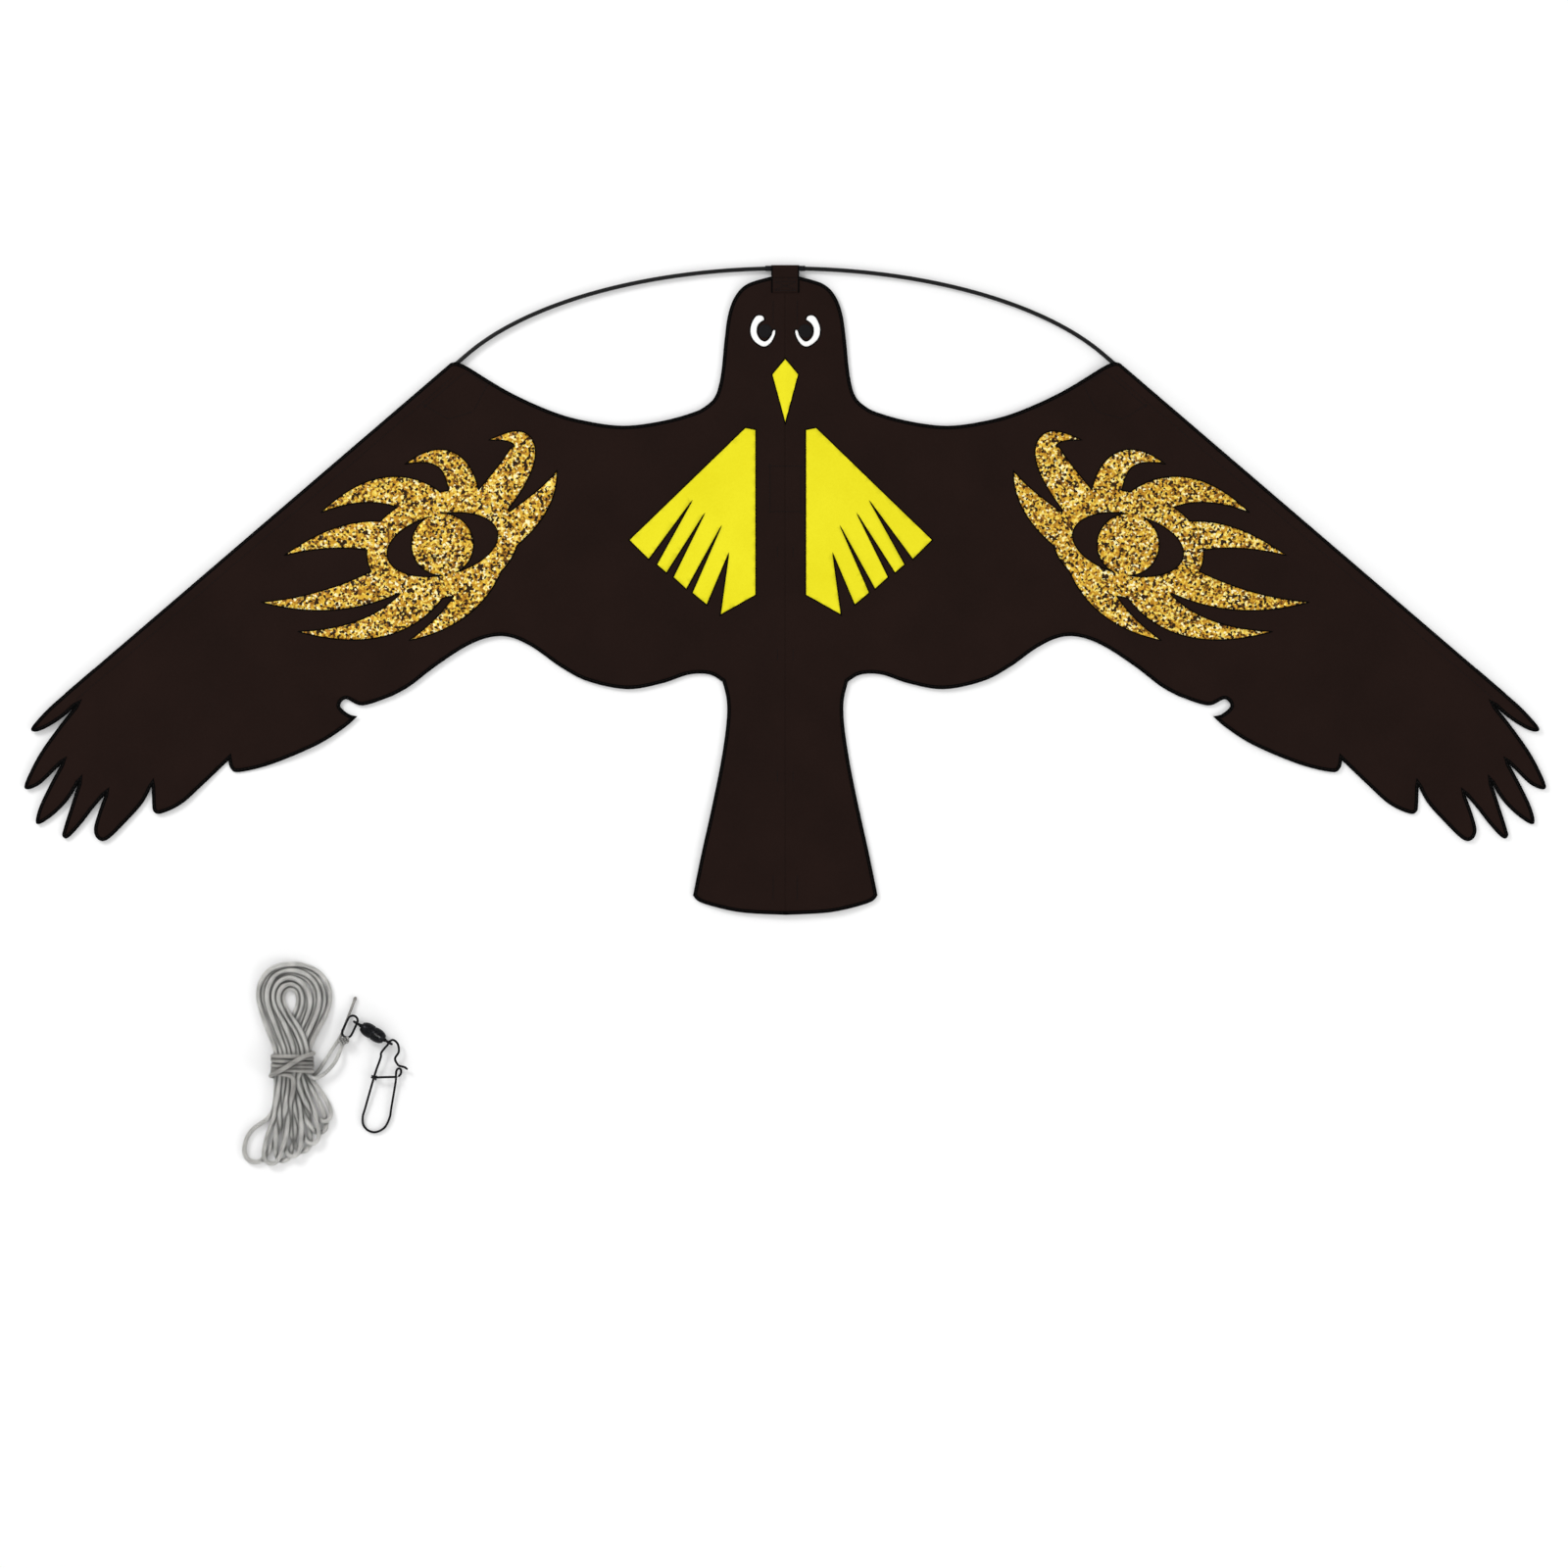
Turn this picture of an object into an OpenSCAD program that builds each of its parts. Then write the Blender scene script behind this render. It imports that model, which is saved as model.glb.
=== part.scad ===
// Hawk-shaped bow kite lying flat on its back, decorated side up, with its flying line beside it.
// X runs along the wings, +Y points from the tail to the head, +Z is the decorated side.
// The origin is under the middle of the kite, at the lowest point that it rests on.

/* [Sail] */
// Thickness of the sail cloth
sail_t = 0.5; // [0.4:0.1:0.8]
// Height of the underside of the sail
sail_z = 5.8; // [5.8:0.1:6.2]
// Distance of each wing's bending line from the middle
bend_x = 20; // [18:1:22]
// Half of the slot between the middle panel and a wing
seam = 0.8; // [0.7:0.1:1.0]
// Thickness of the sewn-on shapes
decal_t = 0.25; // [0.2:0.05:0.4]

/* [Frame] */
// Radius of the bow and spine rods
rod_r = 2; // [1.8:0.1:2.1]
// Height of the rods' centre lines
rod_z = 3.2; // [3.2:0.1:3.3]
// Half-width of the ellipse that the bow follows
bow_a = 341; // [338:1:344]
// Half-height of the ellipse that the bow follows
bow_b = 151; // [149:1:153]
// Slope of the wing's straight leading edge
edge_angle = 40.6; // [40:0.1:41]
// Length of the straight part of the bow inside its sleeve
straight_bow = 488; // [480:1:488]
// Distance from the rod to the sail's leading edge
sleeve_half = 3.6; // [3.5:0.1:3.8]
// Half-length of the tube that joins the two bow rods
ferrule_half = 19; // [15:0.5:19]

/* [Flying line] */
// Diameter of the braided line
line_d = 4.5; // [4:0.1:4.5]
// Radius of the swivel and snap wire
wire_r = 1.1; // [0.9:0.05:1.2]
// Radius of the swivel's barrel
barrel_r = 6.8; // [6.4:0.1:6.8]
// Thickness of the tied hank
hank_t = 15.5; // [14:0.5:16]

/* [Hidden] */
$fn = 48;

cloth = "#231815";
trim = "#151212";
rod_colour = "#1a1a1c";
yellow = "#f0e827";
gold = "#c9992e";
metal = "#3a3a3e";
line_colour = "#bdbcb6";

bow_top_y = 306.5;
bow_centre_y = bow_top_y - bow_b;
curve_steps = 5;
sail_top = sail_z + sail_t;
wing_x = bend_x + seam;
panel_x = bend_x - seam;
neck_y = 185;
tail_y = -88;

// ---------------------------------------------------------------- curves

// Point at fraction t of a Catmull-Rom span from b to c, with neighbours a and d
function span(a, b, c, d, t) =
    0.5 * (2 * b + (c - a) * t + (2 * a - 5 * b + 4 * c - d) * t ^ 2
        + (3 * b - a - 3 * c + d) * t ^ 3);

// Smooth curve through the points p, without its last point
function smooth(p, steps = curve_steps) = [
    for (i = [0:len(p) - 2], k = [0:steps - 1])
        span(p[max(i - 1, 0)], p[i], p[i + 1], p[min(i + 2, len(p) - 1)], k / steps)
];

// Closed outline of edges that are each smooth and meet at corners
function outline(edges) = [for (edge = edges) each len(edge) == 2 ? [edge[0]] : smooth(edge)];

function flip(p) = [-p[0], p[1]];
function mirrored(points) = [for (i = [len(points) - 1:-1:0]) flip(points[i])];

function ellipse_points(centre, a, b, tilt, steps = 36) = [
    for (i = [0:steps - 1])
        let (t = 360 * i / steps, u = a * cos(t), v = b * sin(t))
        centre + [u * cos(tilt) - v * sin(tilt), u * sin(tilt) + v * cos(tilt)]
];

// ---------------------------------------------------------------- tubes

function unit(v) = v / norm(v);
function heading(path, i) =
    unit(path[min(i + 1, len(path) - 1)] - path[max(i - 1, 0)]);
function ring(path, i, r, sides) =
    let (d = heading(path, i), side = unit(cross([0, 0, 1], d)), up = cross(d, side))
    [for (k = [0:sides - 1])
        let (t = 360 * k / sides) path[i] + r * (cos(t) * side + sin(t) * up)];

// Round tube along a path that never points straight up
module tube(path, r, sides = 8) {
    n = len(path);
    points = [for (i = [0:n - 1]) each ring(path, i, r, sides)];
    walls = [
        for (i = [0:n - 2], k = [0:sides - 1])
            let (a = i * sides + k, b = i * sides + (k + 1) % sides)
            each [[a, a + sides, b], [b, a + sides, b + sides]]
    ];
    start_cap = [for (k = [1:sides - 2]) [0, k, k + 1]];
    end_cap = [for (k = [1:sides - 2]) (n - 1) * sides * [1, 1, 1] + [0, k + 1, k]];
    polyhedron(points, concat(walls, start_cap, end_cap));
}

// ---------------------------------------------------------------- sail outlines

// Right half of the head, from the crown down to the neck
head_side = [
    [13.3, 298], [35.4, 291.5], [47, 280.5], [53.8, 263.5], [57.3, 240],
    [59.8, 214], [62.3, 197.5], [65.8, neck_y]
];

// Right side of the tail, from its root to its corner
tail_side = [
    [58.8, tail_y], [55.3, -106], [55.8, -129], [61.4, -167], [70.8, -213], [79.3, -251],
    [87.6, -291.5]
];

// Right half of the tail's curved end
tail_end = [[87.6, -291.5], [79, -298.5], [43.5, -307.2], [0, -309.7]];

// Wing from the neck to the shoulder
neck_curve = [
    [66.3, neck_y - seam], [72, 178], [87, 169], [120, 160], [155, 156], [190, 160.5], [222, 169.5],
    [263, 188], [302, 211.5]
];
shoulder = [[302, 211.5], [310, 214.8], [317, 215]];

// Wing tip: each feather runs from the slit above it, round its tip, to the slit below it
tip_feathers = [
    [[688.3, -100.7], [704, -115], [718, -131], [716, -135], [706, -132], [690, -122], [675, -109]],
    [[675, -109], [692, -130], [711, -157], [724, -183], [723.5, -190], [712, -186], [701, -176],
        [689, -164]],
    [[689, -164], [701, -186], [711, -207], [714.5, -221], [710, -222.5], [697, -213.5],
        [684, -200], [673, -182]],
    [[673, -182], [680, -203], [688, -228], [689, -235], [684, -236], [672, -223.5], [660, -208],
        [648, -194]],
    [[648, -194], [655, -213], [659, -229], [655, -238], [646, -237.5], [628, -220], [613, -203],
        [604, -186]],
    [[604, -186], [603.5, -204], [602, -211.5], [595, -213], [576, -204], [556, -186],
        [531, -162]],
    [[531, -162], [529, -170], [521, -173.5], [490, -166], [447, -148], [421, -131.5],
        [409, -121]]
];

// Trailing edge from the small notch to the root of the tail
notch_edge = [[409, -121], [416.5, -119], [425, -111], [419, -104], [403, -110], [375, -101]];
trailing_edge = [
    [375, -101], [358, -91.5], [334, -73], [305, -54], [282, -45], [262, -45], [240, -55],
    [214, -73.5], [188, -87], [151, -94.5], [118, -89], [92, -80.5], [72, -80.5], [60.3, -87]
];

bow_phi = atan(tan(edge_angle) * bow_a / bow_b);
bow_bend = [bow_a * sin(bow_phi), bow_centre_y + bow_b * cos(bow_phi)];

wing_outline = outline(concat(
    [[[wing_x, -87], [wing_x, neck_y - seam]], [[wing_x, neck_y - seam], neck_curve[0]]],
    [neck_curve, shoulder, [[317, 215], [688.3, -100.7]]],
    tip_feathers,
    [notch_edge, trailing_edge, [[60.3, -87], [wing_x, -87]]]
));

centre_half = concat(
    [[0, 298]],
    outline([
        head_side, [[65.8, neck_y], [panel_x, neck_y]], [[panel_x, neck_y], [panel_x, tail_y]],
        [[panel_x, tail_y], [58.8, tail_y]], tail_side, tail_end
    ]),
    [[0, -309.7]]
);

// Place along the straight part of the right bow rod: x outwards along the rod, y to the edge
module along_edge(distance = 0) {
    translate([bow_bend[0], bow_bend[1], rod_z])
        rotate([0, 0, -edge_angle])
            translate([distance, 0, 0])
                children();
}

module left_side() {
    mirror([1, 0, 0]) children();
}

// ---------------------------------------------------------------- kite body

module sail_centre() {
    color(cloth)
        translate([0, 0, sail_z])
            linear_extrude(sail_t)
                union() {
                    polygon(centre_half);
                    polygon(mirrored(centre_half));
                }
}

spine_top = 274;
spine_end = -294;

// Cylinder along Y
module rod_y(r, from, to) {
    translate([0, from, rod_z]) rotate([-90, 0, 0]) cylinder(r = r, h = to - from);
}

module spine_rod() {
    color(rod_colour) rod_y(rod_r, spine_end, spine_top);
}

cap_wall = 0.5;
cap_length = 12;

module spine_caps() {
    color(trim)
        difference() {
            union() {
                rod_y(rod_r + cap_wall, spine_top - cap_length, spine_top + 1);
                rod_y(rod_r + cap_wall, spine_end - 1, spine_end + cap_length);
            }
            rod_y(rod_r, spine_end, spine_top);
        }
}

// Cloth tunnel under the sail: the cloth passes under a rod and is sewn down on both sides
module tunnel_section(bore, wall, flange) {
    top = sail_z - rod_z;
    difference() {
        union() {
            circle(r = bore + wall);
            polygon([
                [-flange, top], [-flange, top - wall], [-bore - wall, -0.4],
                [bore + wall, -0.4], [flange, top - wall], [flange, top]
            ]);
        }
        circle(r = bore);
        translate([-flange, top]) square([2 * flange, 2 * bore]);
    }
}

module tunnel_y(bore, wall, flange, from, to) {
    translate([0, to, rod_z])
        rotate([90, 0, 0])
            linear_extrude(to - from)
                tunnel_section(bore, wall, flange);
}

tie_length = 16;
tie_places = [214, 36, -62, -178];

module spine_ties() {
    color(trim)
        for (y = tie_places)
            tunnel_y(rod_r + 0.1, 0.5, 9, y - tie_length / 2, y + tie_length / 2);
}

pocket_bore = 2.7;
pocket_wall = 0.5;
pocket_length = 26;
pocket_end = 2;
pocket_top = sail_z - rod_z;

// Pocket with a closed end, from its mouth at y = 0 towards +Y
module pocket() {
    tunnel_y(pocket_bore, pocket_wall, 14, 0, pocket_length);
    translate([0, pocket_length + pocket_end, rod_z])
        rotate([90, 0, 0])
            linear_extrude(pocket_end)
                polygon([
                    [-14, pocket_top], [-14, pocket_top - pocket_wall], [-3, -0.4], [-2, -3],
                    [2, -3], [3, -0.4], [14, pocket_top - pocket_wall], [14, pocket_top]
                ]);
}

module head_pocket() {
    color(trim) translate([0, spine_top + 2 - pocket_length, 0]) pocket();
}

module tail_pocket() {
    color(trim)
        translate([0, spine_end - 2 + pocket_length, 0])
            mirror([0, 1, 0])
                pocket();
}

ferrule_r = 2.6;
tab_half = 13.3;
tab_wall = 0.6;
tab_sewn_to = 281;

// Webbing loop round the ferrule, with both ends sewn under the top of the head
module head_tab() {
    color(cloth)
        translate([-tab_half, bow_top_y, rod_z])
            rotate([90, 0, 90])
                linear_extrude(2 * tab_half)
                    difference() {
                        union() {
                            circle(r = ferrule_r + tab_wall);
                            translate([tab_sewn_to - bow_top_y, sail_z - rod_z - 0.45])
                                square([bow_top_y - tab_sewn_to, 0.45]);
                        }
                        circle(r = ferrule_r);
                    }
}

module rod_x(r, from, to, y) {
    translate([from, y, rod_z]) rotate([0, 90, 0]) cylinder(r = r, h = to - from);
}

module bow_ferrule() {
    color(metal)
        difference() {
            rod_x(ferrule_r, -ferrule_half, ferrule_half, bow_top_y);
            rod_x(rod_r + 0.05, -ferrule_half - 1, ferrule_half + 1, bow_top_y);
        }
}

module bow_inner_ends() {
    color(rod_colour) {
        rod_x(rod_r, 0.2, panel_x, bow_top_y);
        rod_x(rod_r, -panel_x, -0.2, bow_top_y);
    }
}

// ---------------------------------------------------------------- tow point

tow_y = 96;
tow_x = 11.8;
tab_width = 13;
tow_hole_r = 3.5;
tow_tab_z = 3.9;
tow_tab_t = 1.2;

module tow_patch() {
    color(trim)
        translate([-17, tow_y - 24, sail_z - 0.35])
            cube([34, 48, 0.35]);
}

module tow_tab() {
    color(trim)
        translate([0, tow_y, tow_tab_z])
            linear_extrude(tow_tab_t)
                difference() {
                    union() {
                        translate([3.4, -tab_width / 2]) square([tow_x - 3.4, tab_width]);
                        translate([tow_x, 0]) circle(r = tab_width / 2);
                    }
                    translate([tow_x, 0]) circle(r = tow_hole_r + 0.8);
                }
}

// Rolled metal eyelet: a short tube with a flange on each face of the tab
module tow_eyelet() {
    flange_t = 0.35;
    height = tow_tab_t + 2 * flange_t;
    color(metal)
        translate([tow_x, tow_y, tow_tab_z - flange_t])
            difference() {
                union() {
                    cylinder(r = tow_hole_r + 0.75, h = height);
                    cylinder(r = tow_hole_r + 2, h = flange_t);
                    translate([0, 0, height - flange_t])
                        cylinder(r = tow_hole_r + 2, h = flange_t);
                }
                translate([0, 0, -1]) cylinder(r = tow_hole_r, h = height + 2);
            }
}

// ---------------------------------------------------------------- decoration

module decal(points) {
    translate([0, 0, sail_top]) linear_extrude(decal_t) polygon(points);
}

module beak() {
    color(yellow) decal([[0, 220], [-12.6, 205], [0, 158.5], [12.6, 205]]);
}

// White crescent: thick and round at the top, thin at the end beside the beak
eye_crescent = [
    [20, 257], [20.7, 260.4], [24.4, 261.9], [28.6, 260.4], [32.1, 254.5], [33.6, 248],
    [32.4, 241], [28, 235.3], [20.7, 231.4], [14.6, 234.1], [10.5, 240.5], [9.1, 246.4],
    [10.7, 247.9], [12.3, 246.4], [14, 241.6], [18.9, 237], [23.9, 239.2], [26.8, 244.8],
    [26.3, 251], [22.9, 255.3], [20, 257]
];

module eye_right() {
    color("white") decal(smooth(eye_crescent, 3));
}

module eye_left() {
    color("white") left_side() decal(smooth(eye_crescent, 3));
}

pupil_at = [19.2, 246.5];
pupil_r = 6.6;

module pupil() {
    translate([pupil_at[0], pupil_at[1], sail_top]) cylinder(r = pupil_r, h = decal_t);
}

module pupil_right() {
    color("#231f20") pupil();
}

module pupil_left() {
    color("#231f20") left_side() pupil();
}

// Fan of four cut feathers and a long inner strip
function chest_outline() = [
    [23.8, 152.5], [33.8, 154.5], [144.6, 47.5], [126, 29], [84.5, 85], [118.3, 24], [109, 16],
    [72.5, 73], [102.5, 12], [90, 0.5], [56.5, 61], [84.5, -3], [70.5, -14.5], [49.5, 35],
    [57.5, -24], [23.8, -5]
];

module chest_feathers_right() {
    color(yellow) decal(chest_outline());
}

module chest_feathers_left() {
    color(yellow) left_side() decal(chest_outline());
}

flame_at = [327, 43];
flame_tilt = -13;

// One flame tongue: starts wide at its root, follows a bend and ends in a point
function tongue_centre(root, bend, tip, t) =
    (1 - t) ^ 2 * root + 2 * t * (1 - t) * bend + t ^ 2 * tip;
function tongue_side(root, bend, tip, half, side, t) =
    let (d = unit((1 - t) * (bend - root) + t * (tip - bend)))
    tongue_centre(root, bend, tip, t) + side * half * (1 - t ^ 1.7) * [-d[1], d[0]];
function tongue(root, bend, tip, half, steps = 9) = concat(
    [for (i = [0:steps - 1]) tongue_side(root, bend, tip, half, 1, i / steps)],
    [tip],
    [for (i = [steps - 1:-1:0]) tongue_side(root, bend, tip, half, -1, i / steps)]
);

// Root, bend, tip and half-width of each tongue, clockwise from the inner blade
flame_tongues = [
    [[268, 52], [228, 82], [218, 113], 15],
    [[290, 72], [214, 160], [282, 143], 17],
    [[306, 90], [314, 142], [362, 120], 14],
    [[340, 80], [382, 112], [442, 74], 17],
    [[376, 48], [418, 60], [477, 33], 15],
    [[372, 12], [430, -18], [499, -12], 15],
    [[338, 6], [374, -50], [464, -40], 17],
    [[284, 26], [302, -24], [358, -48], 15]
];

module flame_eye() {
    union() {
        difference() {
            union() {
                decal(ellipse_points(flame_at, 73, 50, flame_tilt));
                for (f = flame_tongues)
                    decal(tongue(f[0], f[1], f[2], f[3]));
            }
            translate([0, 0, sail_top - 1])
                linear_extrude(decal_t + 2)
                    polygon(ellipse_points(flame_at, 54, 29, flame_tilt));
        }
        translate([flame_at[0], flame_at[1], sail_top]) cylinder(r = 29.5, h = decal_t);
    }
}

module flame_eye_right() {
    color(gold) flame_eye();
}

module flame_eye_left() {
    color(gold) left_side() flame_eye();
}

// ---------------------------------------------------------------- wings

sleeve_from = 18;
sleeve_to = 466;
tip_pocket_to = 500;
fold_gap = 0.05;

module wing_sail() {
    sleeve_cut = tip_pocket_to - sleeve_from + 2 * fold_gap;
    difference() {
        translate([0, 0, sail_z]) linear_extrude(sail_t) polygon(wing_outline);
        along_edge(sleeve_from - fold_gap)
            translate([0, -sleeve_half - fold_gap, 0])
                cube([sleeve_cut, 4 * sleeve_half, 10]);
    }
}

module sail_right() {
    color(cloth) wing_sail();
}

module sail_left() {
    color(cloth) left_side() wing_sail();
}

// Cross-section of the folded leading edge, x towards the edge and y up
module sleeve_section(bore, wall) {
    top = sail_top - rod_z;
    difference() {
        union() {
            circle(r = bore + wall);
            polygon([
                [-sleeve_half, top], [-sleeve_half, top - sail_t], [-bore - wall, -0.4],
                [bore + wall, -0.4], [sleeve_half, top - sail_t], [sleeve_half, top]
            ]);
        }
        circle(r = bore);
    }
}

module edge_sweep(from, to) {
    along_edge(from)
        rotate([90, 0, 90])
            linear_extrude(to - from)
                children();
}

module sleeve() {
    edge_sweep(sleeve_from, sleeve_to) sleeve_section(rod_r + 0.2, 0.5);
}

module sleeve_right() {
    color(cloth) sleeve();
}

module sleeve_left() {
    color(cloth) left_side() sleeve();
}

bow_steps = 22;
bow_start_phi = asin(wing_x / bow_a);
bow_path = concat(
    [for (i = [0:bow_steps])
        let (phi = bow_start_phi + (bow_phi - bow_start_phi) * i / bow_steps)
        [bow_a * sin(phi), bow_centre_y + bow_b * cos(phi), rod_z]],
    [[
        bow_bend[0] + straight_bow * cos(edge_angle),
        bow_bend[1] - straight_bow * sin(edge_angle), rod_z
    ]]
);

module bow_rod_right() {
    color(rod_colour) tube(bow_path, rod_r, 12);
}

module bow_rod_left() {
    color(rod_colour) left_side() tube(bow_path, rod_r, 12);
}

module tip_cap() {
    edge_sweep(straight_bow - cap_length, straight_bow) {
        difference() {
            circle(r = rod_r + cap_wall);
            circle(r = rod_r + 0.03);
        }
    }
    edge_sweep(straight_bow + 0.05, straight_bow + 2) circle(r = rod_r + cap_wall);
}

module tip_cap_right() {
    color(trim) tip_cap();
}

module tip_cap_left() {
    color(trim) left_side() tip_cap();
}

module tip_pocket() {
    bore = pocket_bore;
    edge_sweep(sleeve_to + 0.1, tip_pocket_to - 4) sleeve_section(bore, pocket_wall);
    edge_sweep(tip_pocket_to - 4, tip_pocket_to)
        union() {
            sleeve_section(bore, pocket_wall);
            circle(r = bore + pocket_wall / 2);
        }
}

module tip_pocket_right() {
    color(trim) tip_pocket();
}

module tip_pocket_left() {
    color(trim) left_side() tip_pocket();
}

// Reinforcement under the shoulder, behind the mouth of the sleeve
module shoulder_patch() {
    translate([0, 0, sail_z - 0.4])
        linear_extrude(0.4)
            polygon([[281, 196], [302, 209], [308, 208.5], [347, 175], [322, 160], [296, 168]]);
}

module shoulder_patch_right() {
    color(trim) shoulder_patch();
}

module shoulder_patch_left() {
    color(trim) left_side() shoulder_patch();
}

// ---------------------------------------------------------------- flying line

tie_y = [-464.7, -439.2];

// Upper bight and lower fan of the tied hank, each drawn to its side of the tie
hank_upper = [
    [-485.4, -439.2], [-495.9, -418.9], [-505.6, -391.9], [-500.4, -367.9], [-482.4, -355.9],
    [-461.4, -355.9], [-440.4, -364.9], [-431.4, -384.4], [-435.9, -411.4], [-453.1, -439.2]
];
hank_lower = [
    [-453.9, -464.7], [-438.9, -486.4], [-431.4, -505.9], [-438.9, -516.5], [-455.4, -531.5],
    [-473.4, -545], [-500.4, -551], [-515.4, -545], [-519.9, -533], [-512.4, -518],
    [-489.9, -493.9], [-486.1, -464.7]
];

module line_hank() {
    color(line_colour) {
        linear_extrude(hank_t) polygon(concat(smooth(hank_upper), [[-453.1, -439.2]]));
        linear_extrude(hank_t) polygon(concat(smooth(hank_lower), [[-486.1, -464.7]]));
    }
}

// Turns of line wrapped round the waist of the hank
module line_tie() {
    color(line_colour)
        translate([-492.1, tie_y[0], 0])
            cube([45, tie_y[1] - tie_y[0], hank_t + 0.5]);
}

knot_at = [-420.6, -429.4, 6.3];
lead_route = [
    [-445.8, -458.9, 8.85], [-441.9, -456.4, 8.4], [-434.4, -450.4, 7.2], [-428.4, -442.9, 6.3],
    [-423.9, -435.4, 6.3], [-421.6, -430.9, 6.3]
];
tag_route = [
    [-420.3, -427.4, 6.9], [-419.4, -419.7, 9.9], [-417.3, -409.2, 10.5], [-413.4, -397.9, 7.5],
    [-409.6, -387.4, 3.9]
];

module line_lead() {
    color(line_colour) {
        tube(lead_route, line_d / 2);
        tube(tag_route, line_d / 2);
    }
}

module line_knot() {
    color(line_colour) translate(knot_at) sphere(r = 5.4, $fn = 32);
}

// Oval ring that the line is knotted to
link_length = 17.2;
link_half = 4.8;
link_turn = 64.4;

module half_ring() {
    rotate_extrude(angle = 180)
        translate([link_half, 0])
            circle(r = wire_r, $fn = 24);
}

module link_ring() {
    color(metal)
        translate([-419.7, -426.4, knot_at[2]])
            rotate([0, 0, link_turn]) {
                translate([link_half, 0, 0]) rotate([0, 0, 90]) half_ring();
                translate([link_length, 0, 0]) rotate([0, 0, -90]) half_ring();
                for (y = [-link_half, link_half])
                    translate([link_half, y, 0])
                        rotate([0, 90, 0])
                            cylinder(r = wire_r, h = link_length - link_half, $fn = 24);
            }
}

swivel_at = [-411, -411.6, barrel_r];
swivel_turn = -31;
eye_r = 3.3;
swivel_length = 42;
barrel_from = 8.4;
barrel_to = 33.6;
stem_r = 1.9;

module on_swivel() {
    translate(swivel_at) rotate([0, 0, swivel_turn]) children();
}

// Upright wire eye whose far side stands at the origin, with a stem towards +X
module swivel_eye() {
    translate([eye_r, 0, 0])
        rotate([90, 0, 0])
            rotate_extrude()
                translate([eye_r, 0])
                    circle(r = wire_r, $fn = 24);
    translate([2 * eye_r - 0.3, 0, 0]) rotate([0, 90, 0]) cylinder(r = stem_r, h = 4.7);
}

module swivel_line_eye() {
    color(metal) on_swivel() swivel_eye();
}

module swivel_snap_eye() {
    color(metal)
        on_swivel()
            translate([swivel_length, 0, 0])
                mirror([1, 0, 0])
                    swivel_eye();
}

// Turned barrel with a blind socket at each end for the stems
module swivel_barrel() {
    length = barrel_to - barrel_from;
    shoulder_r = 3.9;
    socket = [[0, 0], [stem_r + 0.1, 0], [stem_r + 0.1, 2.7], [0, 2.7]];
    color(metal)
        on_swivel()
            translate([barrel_from, 0, 0])
                rotate([0, 90, 0])
                    rotate_extrude()
                        difference() {
                            polygon([
                                [0, 0], [shoulder_r, 0], [barrel_r, 5.2], [barrel_r, length - 5.2],
                                [shoulder_r, length], [0, length]
                            ]);
                            polygon(socket);
                            translate([0, length - 2.7]) polygon(socket);
                        }
}

// Bent wire of the snap, from the sprung upper end, over the swivel's eye and round the bow
snap_route = [
    [-369.3, -459.8, 4.8], [-367.5, -455.2, 5.1], [-371.7, -447.4, 5.4], [-368.2, -440.5, 5.85],
    [-369.3, -433.2, 6.3], [-373.5, -429.3, 6.3], [-377.4, -430.9, 6.3], [-378.9, -433.8, 6.3],
    [-381.9, -437.2, 6.15], [-385.2, -441.8, 5.85], [-385.8, -446.5, 5.4], [-391.5, -462.8, 4.35],
    [-400.4, -493.4, 2.7], [-403.1, -502.9, 2.25], [-402.4, -510.8, 1.8], [-397.5, -516.1, 1.5],
    [-390.3, -517.4, 1.5], [-382.2, -512.9, 1.65], [-377.4, -503.5, 2.1], [-375.9, -494.9, 2.55],
    [-371.4, -469.4, 3.75], [-370.9, -463.8, 4.05]
];

module snap_wire() {
    color(metal) tube(concat(smooth(snap_route, 3), [snap_route[len(snap_route) - 1]]), wire_r, 8);
}

gate_at = [-392.1, -465, 4.2];
gate_turn = 73;
gate_tilt = 2.9;

// Cross-bar that turns on the long leg of the snap and hooks over the short one
module snap_gate() {
    bar_z = 2.8;
    color(metal)
        translate(gate_at) {
            rotate([0, 0, gate_turn])
                rotate([0, 90 - gate_tilt, 0])
                    difference() {
                        cylinder(r = wire_r + 1.7, h = 5.1, center = true);
                        cylinder(r = wire_r + 0.35, h = 7, center = true);
                    }
            tube([[0.8, 0, bar_z], [12, 0.7, bar_z + 0.15], [25.8, 0.9, bar_z + 0.3],
                [30.8, 3.8, bar_z + 0.3], [33.3, 8.2, bar_z + 0.3]], wire_r, 8);
        }
}

sail_centre();
spine_rod();
spine_caps();
spine_ties();
head_pocket();
tail_pocket();
head_tab();
bow_ferrule();
bow_inner_ends();
tow_patch();
tow_tab();
tow_eyelet();
beak();
eye_left();
eye_right();
pupil_left();
pupil_right();
sail_left();
sail_right();
sleeve_left();
sleeve_right();
bow_rod_left();
bow_rod_right();
tip_cap_left();
tip_cap_right();
tip_pocket_left();
tip_pocket_right();
shoulder_patch_left();
shoulder_patch_right();
chest_feathers_left();
chest_feathers_right();
flame_eye_left();
flame_eye_right();
line_hank();
line_tie();
line_lead();
line_knot();
link_ring();
swivel_line_eye();
swivel_barrel();
swivel_snap_eye();
snap_wire();
snap_gate();
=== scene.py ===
import math

import bmesh
import bpy
import numpy as np
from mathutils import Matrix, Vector
from mathutils.geometry import delaunay_2d_cdt


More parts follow.
